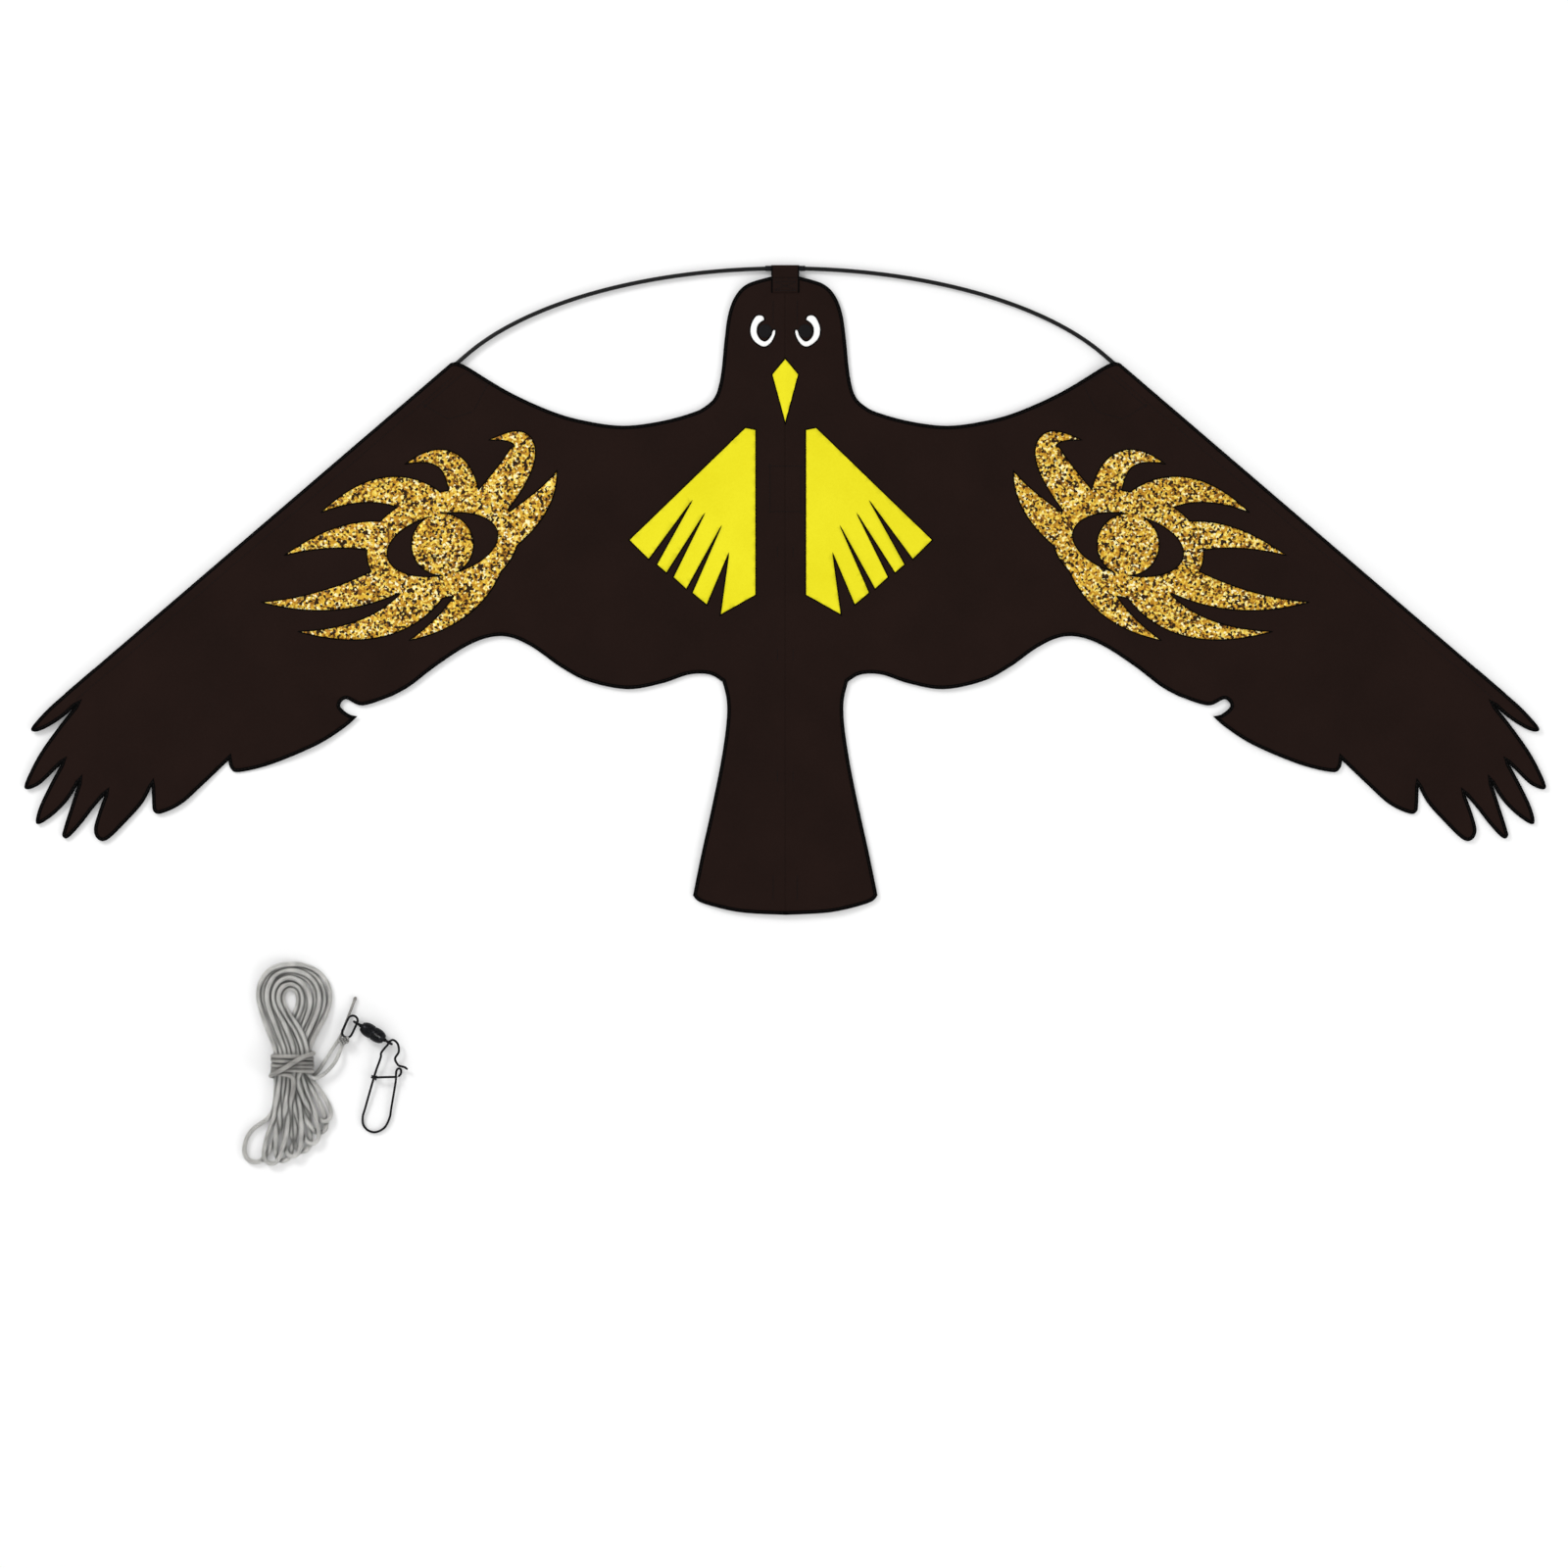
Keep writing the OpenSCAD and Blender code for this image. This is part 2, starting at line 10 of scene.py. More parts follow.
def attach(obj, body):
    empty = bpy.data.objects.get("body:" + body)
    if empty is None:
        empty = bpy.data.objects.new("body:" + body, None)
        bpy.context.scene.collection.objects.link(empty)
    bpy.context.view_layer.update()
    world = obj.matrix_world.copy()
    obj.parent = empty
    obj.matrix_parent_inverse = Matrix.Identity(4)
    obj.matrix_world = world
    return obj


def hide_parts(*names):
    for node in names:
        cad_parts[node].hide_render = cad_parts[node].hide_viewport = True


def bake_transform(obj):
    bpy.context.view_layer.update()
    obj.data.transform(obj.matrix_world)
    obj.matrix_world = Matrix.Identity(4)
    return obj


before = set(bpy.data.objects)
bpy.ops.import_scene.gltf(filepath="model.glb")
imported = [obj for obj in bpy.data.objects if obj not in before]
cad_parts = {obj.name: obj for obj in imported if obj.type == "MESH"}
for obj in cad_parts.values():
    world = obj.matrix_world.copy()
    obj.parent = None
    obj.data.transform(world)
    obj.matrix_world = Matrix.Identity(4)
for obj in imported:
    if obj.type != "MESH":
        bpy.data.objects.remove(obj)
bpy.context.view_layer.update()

# Lengths are in millimetres until a mesh is made, where they become metres.
MM = 0.001
scene = bpy.context.scene

# ---------------- camera and light

SENSOR = 36
# width that the frame shows at the sail's level, and the camera's height over that level
FIELD, CAMERA_HEIGHT, SAIL_LEVEL = 1494.9, 4152.5, 5
camera_data = bpy.data.cameras.new("camera")
camera_data.lens = SENSOR * CAMERA_HEIGHT / FIELD
camera_data.sensor_width = SENSOR
camera_data.clip_end = 50
camera = bpy.data.objects.new("camera", camera_data)
camera.location = Vector((-1.2, -185.3, CAMERA_HEIGHT + SAIL_LEVEL)) * MM
scene.collection.objects.link(camera)
scene.camera = camera
scene.view_settings.view_transform = "Standard"


def area_light(name, at, aim, size, power):
    data = bpy.data.lights.new(name, "AREA")
    data.shape = "DISK"
    data.size = size
    data.energy = power
    lamp = bpy.data.objects.new(name, data)
    lamp.location = at
    lamp.rotation_euler = (Vector(aim) - Vector(at)).to_track_quat("-Z", "Y").to_euler()
    scene.collection.objects.link(lamp)


area_light("key", (-2.3, 2.0, 2.2), (0, 0, 0), 1.2, 52)
area_light("fill", (2.6, -1.7, 1.9), (0, -0.1, 0), 1.6, 26)
area_light("low", (0.3, -3.2, 0.9), (0, 0, 0), 1.2, 10)

world = bpy.data.worlds.new("world")
scene.world = world
world.use_nodes = True
background = world.node_tree.nodes["Background"].inputs
background["Color"].default_value = (1, 1, 1, 1)
background["Strength"].default_value = 0.78

# ---------------- material helpers


class Shader:
    """A material's node tree with short calls for adding and linking nodes."""

    def __init__(self, name, **values):
        self.mat = bpy.data.materials.new(name)
        self.mat.use_nodes = True
        self.tree = self.mat.node_tree
        self.bsdf = self.tree.nodes["Principled BSDF"]
        for key, value in values.items():
            self.set(self.bsdf, key.replace("_", " "), value)

    def set(self, node, key, value):
        socket = node.inputs[key]
        if isinstance(value, bpy.types.NodeSocket):
            self.tree.links.new(value, socket)
        elif socket.type == "RGBA":
            socket.default_value = (*value, 1)
        else:
            socket.default_value = value

    def add(self, kind, inputs=None, out=0, **props):
        node = self.tree.nodes.new("ShaderNode" + kind)
        for key, value in props.items():
            setattr(node, key, value)
        for key, value in (inputs or {}).items():
            self.set(node, key, value)
        return node.outputs[out]

    def math(self, operation, a, b=0.0, c=0.0):
        return self.add("Math", {0: a, 1: b, 2: c}, operation=operation)

    def scaled(self, value, factor, shift):
        return self.math("MULTIPLY_ADD", value, factor, shift)

    def place(self):
        """Where a point is at rest, in metres."""
        return self.add("TexCoord", out="Object")

    def noise(self, scale, detail=3.0, rough=0.55):
        return self.add("TexNoise", {"Vector": self.place(), "Scale": scale, "Detail": detail,
                                     "Roughness": rough})

    def flakes(self, scale):
        return self.add("TexVoronoi", {"Vector": self.place(), "Scale": scale, "Randomness": 1.0},
                        out="Color")

    def ramp(self, factor, *stops):
        out = self.add("ValToRGB", {"Fac": factor})
        elements = out.node.color_ramp.elements
        while len(elements) < len(stops):
            elements.new(0.5)
        for element, (at, colour) in zip(elements, stops):
            element.position = at
            element.color = (*colour, 1)
        return out

    def mix(self, factor, a, b):
        out = self.add("Mix", data_type="RGBA", out=2)
        for key, value in ((0, factor), (6, a), (7, b)):
            self.set(out.node, key, value)
        return out

    def bump(self, height, distance, strength=1.0, normal=None):
        inputs = {"Height": height, "Distance": distance, "Strength": strength}
        if normal:
            inputs["Normal"] = normal
        return self.add("Bump", inputs)

    def weave(self, pitch, slanted=False):
        """Plain weave: height from 0 to 1, with one thread every pitch metres."""
        axes = self.add("SeparateXYZ", {0: self.place()}).node.outputs[:2]
        if slanted:
            axes = [self.math(operation, *axes) for operation in ("ADD", "SUBTRACT")]
        waves = [self.math("SINE", self.math("MULTIPLY", axis, 2 * math.pi / pitch))
                 for axis in axes]
        return self.scaled(self.math("MULTIPLY", *waves), 0.5, 0.5)

    def colour(self, value):
        self.set(self.bsdf, "Base Color", value)

    def rough(self, value):
        self.set(self.bsdf, "Roughness", value)

    def normal(self, value):
        self.set(self.bsdf, "Normal", value)


THREAD_PITCH = 0.0006


def dyed_cloth(name, dark, light, relief=0.00004, sheen=0.01):
    """Woven cloth: threads, faint unevenness of the dye, soft creases."""
    s = Shader(name, Sheen_Weight=sheen, Sheen_Roughness=0.4, Specular_IOR_Level=0.03)
    threads = s.weave(THREAD_PITCH)
    uneven = s.noise(14.0, 4.0)
    grain = s.noise(420.0, 2.0)
    tone = s.scaled(threads, 0.3, s.math("MULTIPLY", uneven, 0.7))
    tone = s.scaled(grain, 0.25, tone)
    s.colour(s.ramp(tone, (0.25, dark), (0.85, light)))
    s.rough(s.scaled(uneven, 0.2, 0.55))
    creases = s.bump(s.noise(9.0, 5.0, 0.6), 0.0035, 0.5)
    s.normal(s.bump(threads, relief, 0.6, creases))
    return s.mat


def webbing(name, dark, light, rib):
    """Narrow woven tape, ribbed on the slant."""
    s = Shader(name, Sheen_Weight=0.005, Sheen_Roughness=0.5, Specular_IOR_Level=0.03)
    height = s.weave(rib, slanted=True)
    fuzz = s.noise(700.0, 3.0)
    s.colour(s.ramp(s.scaled(fuzz, 0.5, s.math("MULTIPLY", height, 0.5)),
                    (0.2, dark), (0.8, light)))
    s.rough(s.scaled(fuzz, 0.25, 0.55))
    s.normal(s.bump(height, 0.0002, 0.7))
    return s.mat


def satin_plastic(name, dark, light, streak, rough):
    """Hard plastic with fine drawn lines and small scuffs."""
    s = Shader(name, Specular_IOR_Level=0.2)
    drawn = s.noise(streak, 4.0)
    scuffs = s.noise(260.0, 5.0, 0.7)
    s.colour(s.ramp(s.scaled(scuffs, 0.4, s.math("MULTIPLY", drawn, 0.6)),
                    (0.3, dark), (0.75, light)))
    s.rough(s.scaled(scuffs, 0.3, rough))
    s.normal(s.bump(s.noise(900.0, 2.0), 0.00004, 0.5))
    return s.mat


def gunmetal(name):
    """Dark plated metal, worn paler and pitted."""
    s = Shader(name, Metallic=1.0)
    worn = s.noise(900.0, 4.0, 0.65)
    pits = s.noise(3200.0, 2.0)
    s.colour(s.ramp(worn, (0.35, (0.006, 0.006, 0.007)), (0.62, (0.020, 0.020, 0.022)),
                    (0.85, (0.12, 0.12, 0.12))))
    s.rough(s.scaled(worn, 0.3, 0.2))
    s.normal(s.bump(pits, 0.00003, 0.4))
    return s.mat


def glitter(name):
    """Film covered in flakes, each with its own colour and tilt."""
    s = Shader(name, Specular_IOR_Level=0.15)
    cells = s.flakes(520.0)
    axes = s.add("SeparateColor", {0: cells}).node.outputs
    speck = s.add("SeparateColor", {0: s.flakes(440.0)}, out=1)
    clouds = s.noise(26.0, 3.0)
    tone = s.scaled(s.math("SUBTRACT", clouds, 0.5), 0.4, axes[0])
    gold = s.ramp(tone, (0.04, (0.10, 0.038, 0.004)), (0.20, (0.36, 0.150, 0.010)),
                  (0.45, (0.62, 0.33, 0.022)), (0.70, (0.84, 0.57, 0.065)),
                  (0.86, (0.94, 0.76, 0.19)), (0.97, (1.0, 0.92, 0.55)))
    dark = s.ramp(speck, (0.21, (1.0, 1.0, 1.0)), (0.26, (0.0, 0.0, 0.0)))
    s.colour(s.mix(dark, gold, (0.024, 0.009, 0.001)))
    s.set(s.bsdf, "Metallic", s.math("MULTIPLY", axes[1], 0.35))
    s.rough(s.scaled(axes[2], 0.3, 0.25))
    tilt = s.add("VectorMath", {0: cells, 1: (0.5, 0.5, 0.5)}, operation="SUBTRACT")
    tilt = s.add("VectorMath", {0: tilt, "Scale": 0.4}, operation="SCALE")
    facing = s.add("NewGeometry", out="Normal")
    turned = s.add("VectorMath", {0: facing, 1: tilt}, operation="ADD")
    s.normal(s.add("VectorMath", {0: turned}, operation="NORMALIZE"))
    return s.mat


BRAID_PITCH, BRAID_STRANDS = 0.0054, 4


def braid(name, dark, light, soiled):
    """Braided line, from the attributes along (metres), around, soil and the painted shade where
    strands touch (0 to 1); its grooves are painted darker than its strands, as painted shade.
    """
    s = Shader(name, Sheen_Weight=0.1, Sheen_Roughness=0.5, Specular_IOR_Level=0.25)
    along, around, soil, contact_shade = (s.add("Attribute", attribute_name=key, out="Fac")
                                    for key in ("along", "around", "soil", "contact_shade"))
    a = s.math("MULTIPLY", along, 2 * math.pi / BRAID_PITCH)
    b = s.math("MULTIPLY", around, math.pi * BRAID_STRANDS)
    one = s.math("ABSOLUTE", s.math("SINE", s.math("ADD", a, b)))
    two = s.math("ABSOLUTE", s.math("SINE", s.math("SUBTRACT", a, b)))
    height = s.math("POWER", s.math("MULTIPLY", one, two), 0.8)
    fuzz = s.noise(900.0, 3.0, 0.7)
    patches = s.noise(95.0, 2.0)
    # painted shade: the colour follows the braid's height, so its grooves are painted dark
    tone = s.scaled(fuzz, 0.3, s.math("MULTIPLY", height, 0.8))
    tone = s.scaled(s.math("SUBTRACT", patches, 0.5), 0.5, tone)
    # painted shade: the braid is darker where a strand lies against another
    tone = s.scaled(contact_shade, -0.34, tone)
    half = tuple(0.31 * (d + l) for d, l in zip(dark, light))
    clean = s.ramp(tone, (0.26, dark), (0.47, half), (0.72, light))
    dirty = s.ramp(tone, (0.30, dark), (0.56, tuple(0.3 * c for c in soiled)), (0.88, soiled))
    s.colour(s.mix(soil, clean, dirty))
    s.rough(0.8)
    s.normal(s.bump(height, 0.0005, 0.9))
    return s.mat


CLOTH = dyed_cloth("sail_cloth_look", (0.0098, 0.0050, 0.0039), (0.0164, 0.0082, 0.0064))
HEM = webbing("hem_look", (0.0004, 0.0004, 0.0004), (0.0016, 0.0015, 0.0015), 0.0009)
TRIM = webbing("trim_look", (0.003, 0.0026, 0.0026), (0.011, 0.010, 0.010), 0.0016)
THREAD = webbing("thread_look", (0.005, 0.004, 0.004), (0.020, 0.016, 0.015), 0.0005)
ROD = satin_plastic("rod_look", (0.0016, 0.0016, 0.0018), (0.006, 0.006, 0.0065), 40.0, 0.3)
VINYL = satin_plastic("vinyl_look", (0.006, 0.006, 0.006), (0.016, 0.016, 0.016), 90.0, 0.42)
YELLOW = dyed_cloth("yellow_look", (0.70, 0.62, 0.008), (0.84, 0.77, 0.022), 0.00003, 0.0)
WHITE = dyed_cloth("white_look", (0.84, 0.84, 0.83), (0.98, 0.98, 0.97), 0.00003, 0.0)
PUPIL = dyed_cloth("pupil_look", (0.0075, 0.0068, 0.0072), (0.0125, 0.0115, 0.012))
GLITTER = glitter("glitter_look")
METAL = gunmetal("metal_look")
LINE = braid("line_look", (0.018, 0.018, 0.016), (0.97, 0.96, 0.92), (0.74, 0.71, 0.66))

# ---------------- mesh helpers


def plain_object(name, shape, material):
    """A smooth object from vertices and faces."""
    verts, faces = shape
    mesh = bpy.data.meshes.new(name)
    mesh.from_pydata((np.asarray(verts, float) * MM).tolist(), [], faces)
    mesh.validate()
    mesh.materials.append(material)
    mesh.shade_smooth()
    obj = bpy.data.objects.new(name, mesh)
    scene.collection.objects.link(obj)
    return obj


def piece(name, shape, material, body=None, *nodes):
    """A piece of the kite, which rides on a body and stands for CAD nodes."""
    obj = plain_object(name, shape, material)
    if body:
        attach(obj, body)
    if nodes:
        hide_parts(*nodes)
    return obj


def sides_along(path):
    """Two side directions at each point of a path, turning as little as possible."""
    tangent = np.gradient(path, axis=0)
    tangent /= np.linalg.norm(tangent, axis=1)[:, None]
    side = np.cross((0, 0, 1), tangent[0])
    if np.linalg.norm(side) < 0.1:
        side = np.array((1.0, 0, 0))
    sides = []
    for t in tangent:
        side = side - t * (side @ t)
        side /= np.linalg.norm(side)
        sides.append(side)
    return np.array(sides), np.cross(tangent, sides)


def swept(rings, closed=False, flip=False):
    """Vertices and faces through rings of the same number of points. Unless it is closed into a
    loop, both ends are shut; flip turns its faces over."""
    rings = np.array(rings, float)
    n, m = rings.shape[:2]
    faces = []
    for i in range(n if closed else n - 1):
        here, there = i * m, (i + 1) % n * m
        for k in range(m):
            a, b, c, d = here + k, here + (k + 1) % m, there + (k + 1) % m, there + k
            faces.append([a, d, c, b] if flip else [a, b, c, d])
    if not closed:
        first, last = list(range(m)), list(range((n - 1) * m, n * m))
        faces += [first, last[::-1]] if flip else [first[::-1], last]
    return rings.reshape(-1, 3), faces


def tube_mesh(path, radius, sides=12, closed=False):
    """A round tube; radius is a number or one for each point."""
    path = np.asarray(path, float)
    radius = np.broadcast_to(np.asarray(radius, float), len(path))
    if closed:
        a, b = (side[1:-1] for side in sides_along(np.vstack([path[-1], path, path[0]])))
    else:
        a, b = sides_along(path)
    turn = np.linspace(0, 2 * math.pi, sides, endpoint=False)[None, :, None]
    return swept(path[:, None] + radius[:, None, None] * (
        np.cos(turn) * a[:, None] + np.sin(turn) * b[:, None]), closed)


def joined(parts):
    """One list of vertices and faces from several."""
    verts, faces, count = [], [], 0
    for v, f in parts:
        verts.append(np.asarray(v, float))
        faces += [[count + i for i in face] for face in f]
        count += len(v)
    return np.vstack(verts), faces


def spline(points, steps=6, closed=False):
    """Catmull-Rom curve through the points."""
    p = np.asarray(points, float)
    n = len(p)
    out = []
    for i in range(n if closed else n - 1):
        a, b, c, d = (p[k % n] if closed else p[min(max(k, 0), n - 1)] for k in range(i - 1, i + 3))
        for k in range(steps):
            t = k / steps
            out.append(0.5 * (2 * b + (c - a) * t + (2 * a - 5 * b + 4 * c - d) * t ** 2
                              + (3 * b - a - 3 * c + d) * t ** 3))
    if not closed:
        out.append(p[-1])
    return np.array(out)


def runs_along(path):
    """Length of the path up to each of its points."""
    return np.concatenate([[0], np.cumsum(np.linalg.norm(np.diff(path, axis=0), axis=1))])


def resampled(points, gap, closed=False):
    """Points spaced evenly along a line, about gap apart."""
    p = np.asarray(points, float)
    if closed:
        p = np.vstack([p, p[0]])
    run = runs_along(p)
    count = max(2, int(round(run[-1] / gap)) + 1)
    at = np.linspace(0, run[-1], count)
    out = np.stack([np.interp(at, run, p[:, k]) for k in range(p.shape[1])], axis=1)
    return out[:-1] if closed else out


def filled_in(points, gap):
    """The closed outline with extra points wherever two are more than gap apart."""
    p = np.asarray(points, float)
    out = []
    for a, b in zip(p, np.roll(p, -1, axis=0)):
        steps = max(1, int(math.ceil(np.linalg.norm(b - a) / gap)))
        out += [a + (b - a) * k / steps for k in range(steps)]
    return np.array(out)


def inside(points, loop):
    """True for each point inside the closed loop."""
    x, y = np.asarray(points, float).T
    result = np.zeros(len(x), bool)
    for (x0, y0), (x1, y1) in zip(loop, np.roll(loop, -1, axis=0)):
        if y0 == y1:
            continue
        crosses = (y0 > y) != (y1 > y)
        result ^= crosses & (x < (x1 - x0) * (y - y0) / (y1 - y0) + x0)
    return result


def to_segment(points, a, b):
    """Distance from each point to the straight line from a to b."""
    d = np.subtract(b, a)
    t = np.clip(((points - a) @ d) / max(d @ d, 1e-9), 0, 1)
    return np.linalg.norm(points - a - t[:, None] * d, axis=1)


def gap_to(points, loop):
    """Distance from each point to the closed loop."""
    best = np.full(len(points), 1e9)
    for a, b in zip(loop, np.roll(loop, -1, axis=0)):
        best = np.minimum(best, to_segment(points, a, b))
    return best


def signed_area(loop):
    """Area inside a closed loop, above zero where it runs counterclockwise."""
    x, y = loop.T
    return 0.5 * np.sum(x * np.roll(y, -1) - np.roll(x, -1) * y)


# a filling point is left out where it is nearer than this to an outline
FILL_GAP = 0.9


def triangulated(loops, spacing, keep=None, extra=None):
    """Fills closed outlines: points, triangles, and the edges of the filled area as ordered loops.
    keep says which points belong; by default those inside an odd number of loops."""
    if keep is None:
        def keep(p):
            total = np.zeros(len(p), int)
            for loop in loops:
                total += inside(p, loop)
            return total % 2 == 1
    corners = np.vstack(loops)
    low, high = corners.min(0), corners.max(0)
    grid = np.stack(np.meshgrid(np.arange(low[0], high[0], spacing),
                                np.arange(low[1], high[1], spacing)), -1).reshape(-1, 2)
    grid[:, 0] += 0.25 * spacing * np.where(np.round((grid[:, 1] - low[1]) / spacing) % 2, 1, -1)
    if extra is not None:
        taken = {(round(x / spacing), round(y / spacing)) for x, y in extra}
        grid = [g for g in grid if (round(g[0] / spacing), round(g[1] / spacing)) not in taken]
        grid = np.vstack([extra, grid])
    grid = grid[keep(grid)]
    for loop in loops:
        grid = grid[gap_to(grid, loop) > FILL_GAP]
    points, edges = [], []
    for loop in loops:
        first, n = len(points), len(loop)
        points += [Vector(p) for p in loop]
        edges += [(first + i, first + (i + 1) % n) for i in range(n)]
    points += [Vector(p) for p in grid]
    out_points, _, tris, *_ = delaunay_2d_cdt(points, edges, [], 0, 1e-5)
    flat = np.array([tuple(v) for v in out_points])
    tris = np.array([t for t in tris if len(t) == 3])
    tris = tris[keep(flat[tris].mean(1))]
    a, b, c = (flat[tris[:, i]] for i in range(3))
    (bx, by), (cx, cy) = (b - a).T, (c - a).T
    area = bx * cy - by * cx
    tris = np.where((area < 0)[:, None], tris[:, ::-1], tris)[np.abs(area) > 1e-6]
    used = np.unique(tris)
    renumber = np.full(len(flat), -1)
    renumber[used] = np.arange(len(used))
    flat, tris = flat[used], renumber[tris]
    directed = {(int(t[i]), int(t[(i + 1) % 3])) for t in tris for i in range(3)}
    following = {}
    for i, j in directed:
        if (j, i) not in directed:
            following.setdefault(i, []).append(j)
    rims = []
    while following:
        i = start = next(iter(sorted(following)))
        rim = []
        while i in following:
            rim.append(i)
            j = following[i].pop()
            if not following[i]:
                del following[i]
            i = j
            if i == start:
                break
        rims.append(rim)
    return flat, tris, rims


def sheet_mesh(flat, tris, rims, top, under):
    """A thin closed sheet from z = under(points) to z = top(points)."""
    n = len(flat)
    verts = np.vstack([np.column_stack([flat, top]), np.column_stack([flat, under])])
    faces = [list(map(int, t)) for t in tris] + [[int(i) + n for i in t[::-1]] for t in tris]
    for rim in rims:
        for i, j in zip(rim, rim[1:] + rim[:1]):
            faces.append([i, i + n, j + n, j])
    return verts, faces


def inward(loop):
    """Mitred direction towards the left of a closed loop, one for each point."""
    d = np.roll(loop, -1, axis=0) - loop
    d /= np.maximum(np.linalg.norm(d, axis=1), 1e-9)[:, None]
    left = np.column_stack([-d[:, 1], d[:, 0]])
    both = left + np.roll(left, 1, axis=0)
    both /= np.maximum(np.linalg.norm(both, axis=1), 1e-6)[:, None]
    stretch = 1 / np.clip((both * left).sum(1), 0.45, 1)
    return both * stretch[:, None]


def room_inside(loop, width):
    """How far each point can move inwards before it comes nearer to another edge."""
    out = inward(loop)
    room = np.full(len(loop), width, float)
    for share in (1, 0.8, 0.6, 0.42, 0.26, 0.14):
        moved = loop + out * (width * share)
        crowded = gap_to(moved, loop) < width * share * 0.93
        room = np.where(crowded & (room >= width * share - 1e-9), width * share * 0.7, room)
    return room


STITCH = [(-0.5, 0.25), (-0.36, 0.85), (0.0, 1.0), (0.36, 0.85), (0.5, 0.25)]
STITCH_LENGTH, STITCH_WIDTH, STITCH_HEIGHT = 2.3, 0.32, 0.2


def stitches_on(path, height, lift, pitch=3.4):
    """A row of separate thread stitches along an open line on the sail."""
    dense = resampled(path, pitch)
    points = np.column_stack([dense, height(dense) + lift])
    tangent = np.gradient(points, axis=0)
    tangent /= np.linalg.norm(tangent, axis=1)[:, None]
    turn = np.linspace(0, 2 * math.pi, 6, endpoint=False)
    row = []
    for p, t in zip(points[1:-1], tangent[1:-1]):
        s = np.cross((0.0, 0, 1), t)
        s /= max(np.linalg.norm(s), 1e-9)
        up = np.cross(t, s)
        row.append(swept([[p + t * x * STITCH_LENGTH
                           + r * (s * math.cos(a) * STITCH_WIDTH + up * math.sin(a) * STITCH_HEIGHT)
                           for a in turn] for x, r in STITCH]))
    return joined(row)


def sewn_through(path, lift, drop, pitch=3.4):
    """The same row of stitches over and under the sail."""
    return [stitches_on(path, sail_top, lift, pitch), stitches_on(path, sail_under, -drop, pitch)]


def mirrored(shape, side):
    """The shape itself on the right side, its mirror image on the left."""
    verts, faces = shape
    return np.asarray(verts) * (side, 1, 1), faces if side > 0 else [f[::-1] for f in faces]


# ---------------- the kite's own measures

SAIL_T = 0.35
ROD_R, ROD_Z = 2.0, 3.2
# the bow's elliptic middle, and the slope and length of the straight part on each side
BOW_A, BOW_B, BOW_TOP = 341.0, 151.0, 306.5
EDGE, STRAIGHT = math.radians(40.6), 488.0
SLEEVE_FROM, SLEEVE_TO, POCKET_TO = 18.0, 466.0, 500.0
# how far the sail's fold lies out from the rod, and how high the sail lies on a rod
FOLD, CREST = 3.6, 6.15
TAIL_Y, CROWN_Y = -309.7, 298
SPINE_ENDS = (0, -292), (0, 276)
# half the width of a rod's top that the sail lies on
ROD_TOP = 1.5
# middle of the tow point, and half the width and length of its patch
TOW_Y, TOW_HALF = 96.0, (17, 24)

bow_phi = math.atan(math.tan(EDGE) * BOW_A / BOW_B)
BEND = np.array([BOW_A * math.sin(bow_phi), BOW_TOP - BOW_B + BOW_B * math.cos(bow_phi)])
OUT = np.array([math.cos(EDGE), -math.sin(EDGE)])
EDGE_N = np.array([math.sin(EDGE), math.cos(EDGE)])



def on_edge(along, out=0.0):
    """Point on the wing's leading edge: along the rod, and out from it."""
    return BEND + OUT * along + EDGE_N * out


# the right half's edge from the crown to the tail, in runs from corner to corner
CROWN = [(0, CROWN_Y), (13.3, CROWN_Y)]
HEAD_SIDE = [(35.4, 291.5), (47, 280.5), (53.8, 263.5), (57.3, 240), (59.8, 214),
             (62.3, 197.5), (66.2, 185), (73, 177), (87, 169), (120, 160), (155, 156), (190, 160.5),
             (222, 169.5), (263, 188), (302, 211.5)]
SHOULDER = [(309.5, 215.2), (314.5, 216.6)]
LEADING = [on_edge(SLEEVE_FROM, FOLD)], [(688.3, -100.7)]
FEATHERS = [
    [(704, -115), (718, -131), (716, -135), (706, -132), (690, -122), (675, -109)],
    [(692, -130), (711, -157), (724, -183), (723.5, -190), (712, -186), (701, -176),
     (689, -164)],
    [(701, -186), (711, -207), (714.5, -221), (710, -222.5), (697, -213.5), (684, -200),
     (673, -182)],
    [(680, -203), (688, -228), (689, -235), (684, -236), (672, -223.5), (660, -208), (648, -194)],
    [(655, -213), (659, -229), (655, -238), (646, -237.5), (628, -220), (613, -203), (604, -186)],
    [(603.5, -204), (602, -211.5), (595, -213), (576, -204), (556, -186), (531, -162)],
    [(529, -170), (521, -173.5), (490, -166), (447, -148), (421, -131.5), (409, -121)],
]
NOTCH = [(416.5, -119), (425, -111), (419, -104), (403, -110), (375, -101)]
TRAILING = [(358, -91.5), (334, -73), (305, -54), (282, -45), (262, -45), (240, -55), (214, -73.5),
            (188, -87), (151, -94.5), (118, -89), (92, -80.5), (72, -80.5), (59.5, -87.5)]
TAIL = [(55.3, -106), (55.8, -129), (61.4, -167), (70.8, -213), (79.3, -251), (87.6, -291.5)]
TAIL_END = [(79, -298.5), (43.5, -307.2), (0, TAIL_Y)]


def sail_outline():
    """The right half's outline: down the middle, then from the tail round to the crown."""
    corner, points = CROWN[0], []
    for run in (CROWN[1:], HEAD_SIDE, SHOULDER, *LEADING, *FEATHERS, NOTCH, TRAILING, TAIL,
                TAIL_END):
        edge = [corner, *run]
        points += [*(spline(edge) if len(edge) > 2 else edge)][:-1]
        corner = run[-1]
    return filled_in(np.array([*points, corner]), 5.0)[::-1]


def held_near(gap, reach, power=1.0):
    """1 where the sail is held up, less the further away it is."""
    return np.exp(-(np.maximum(gap, 0) / reach) ** power)


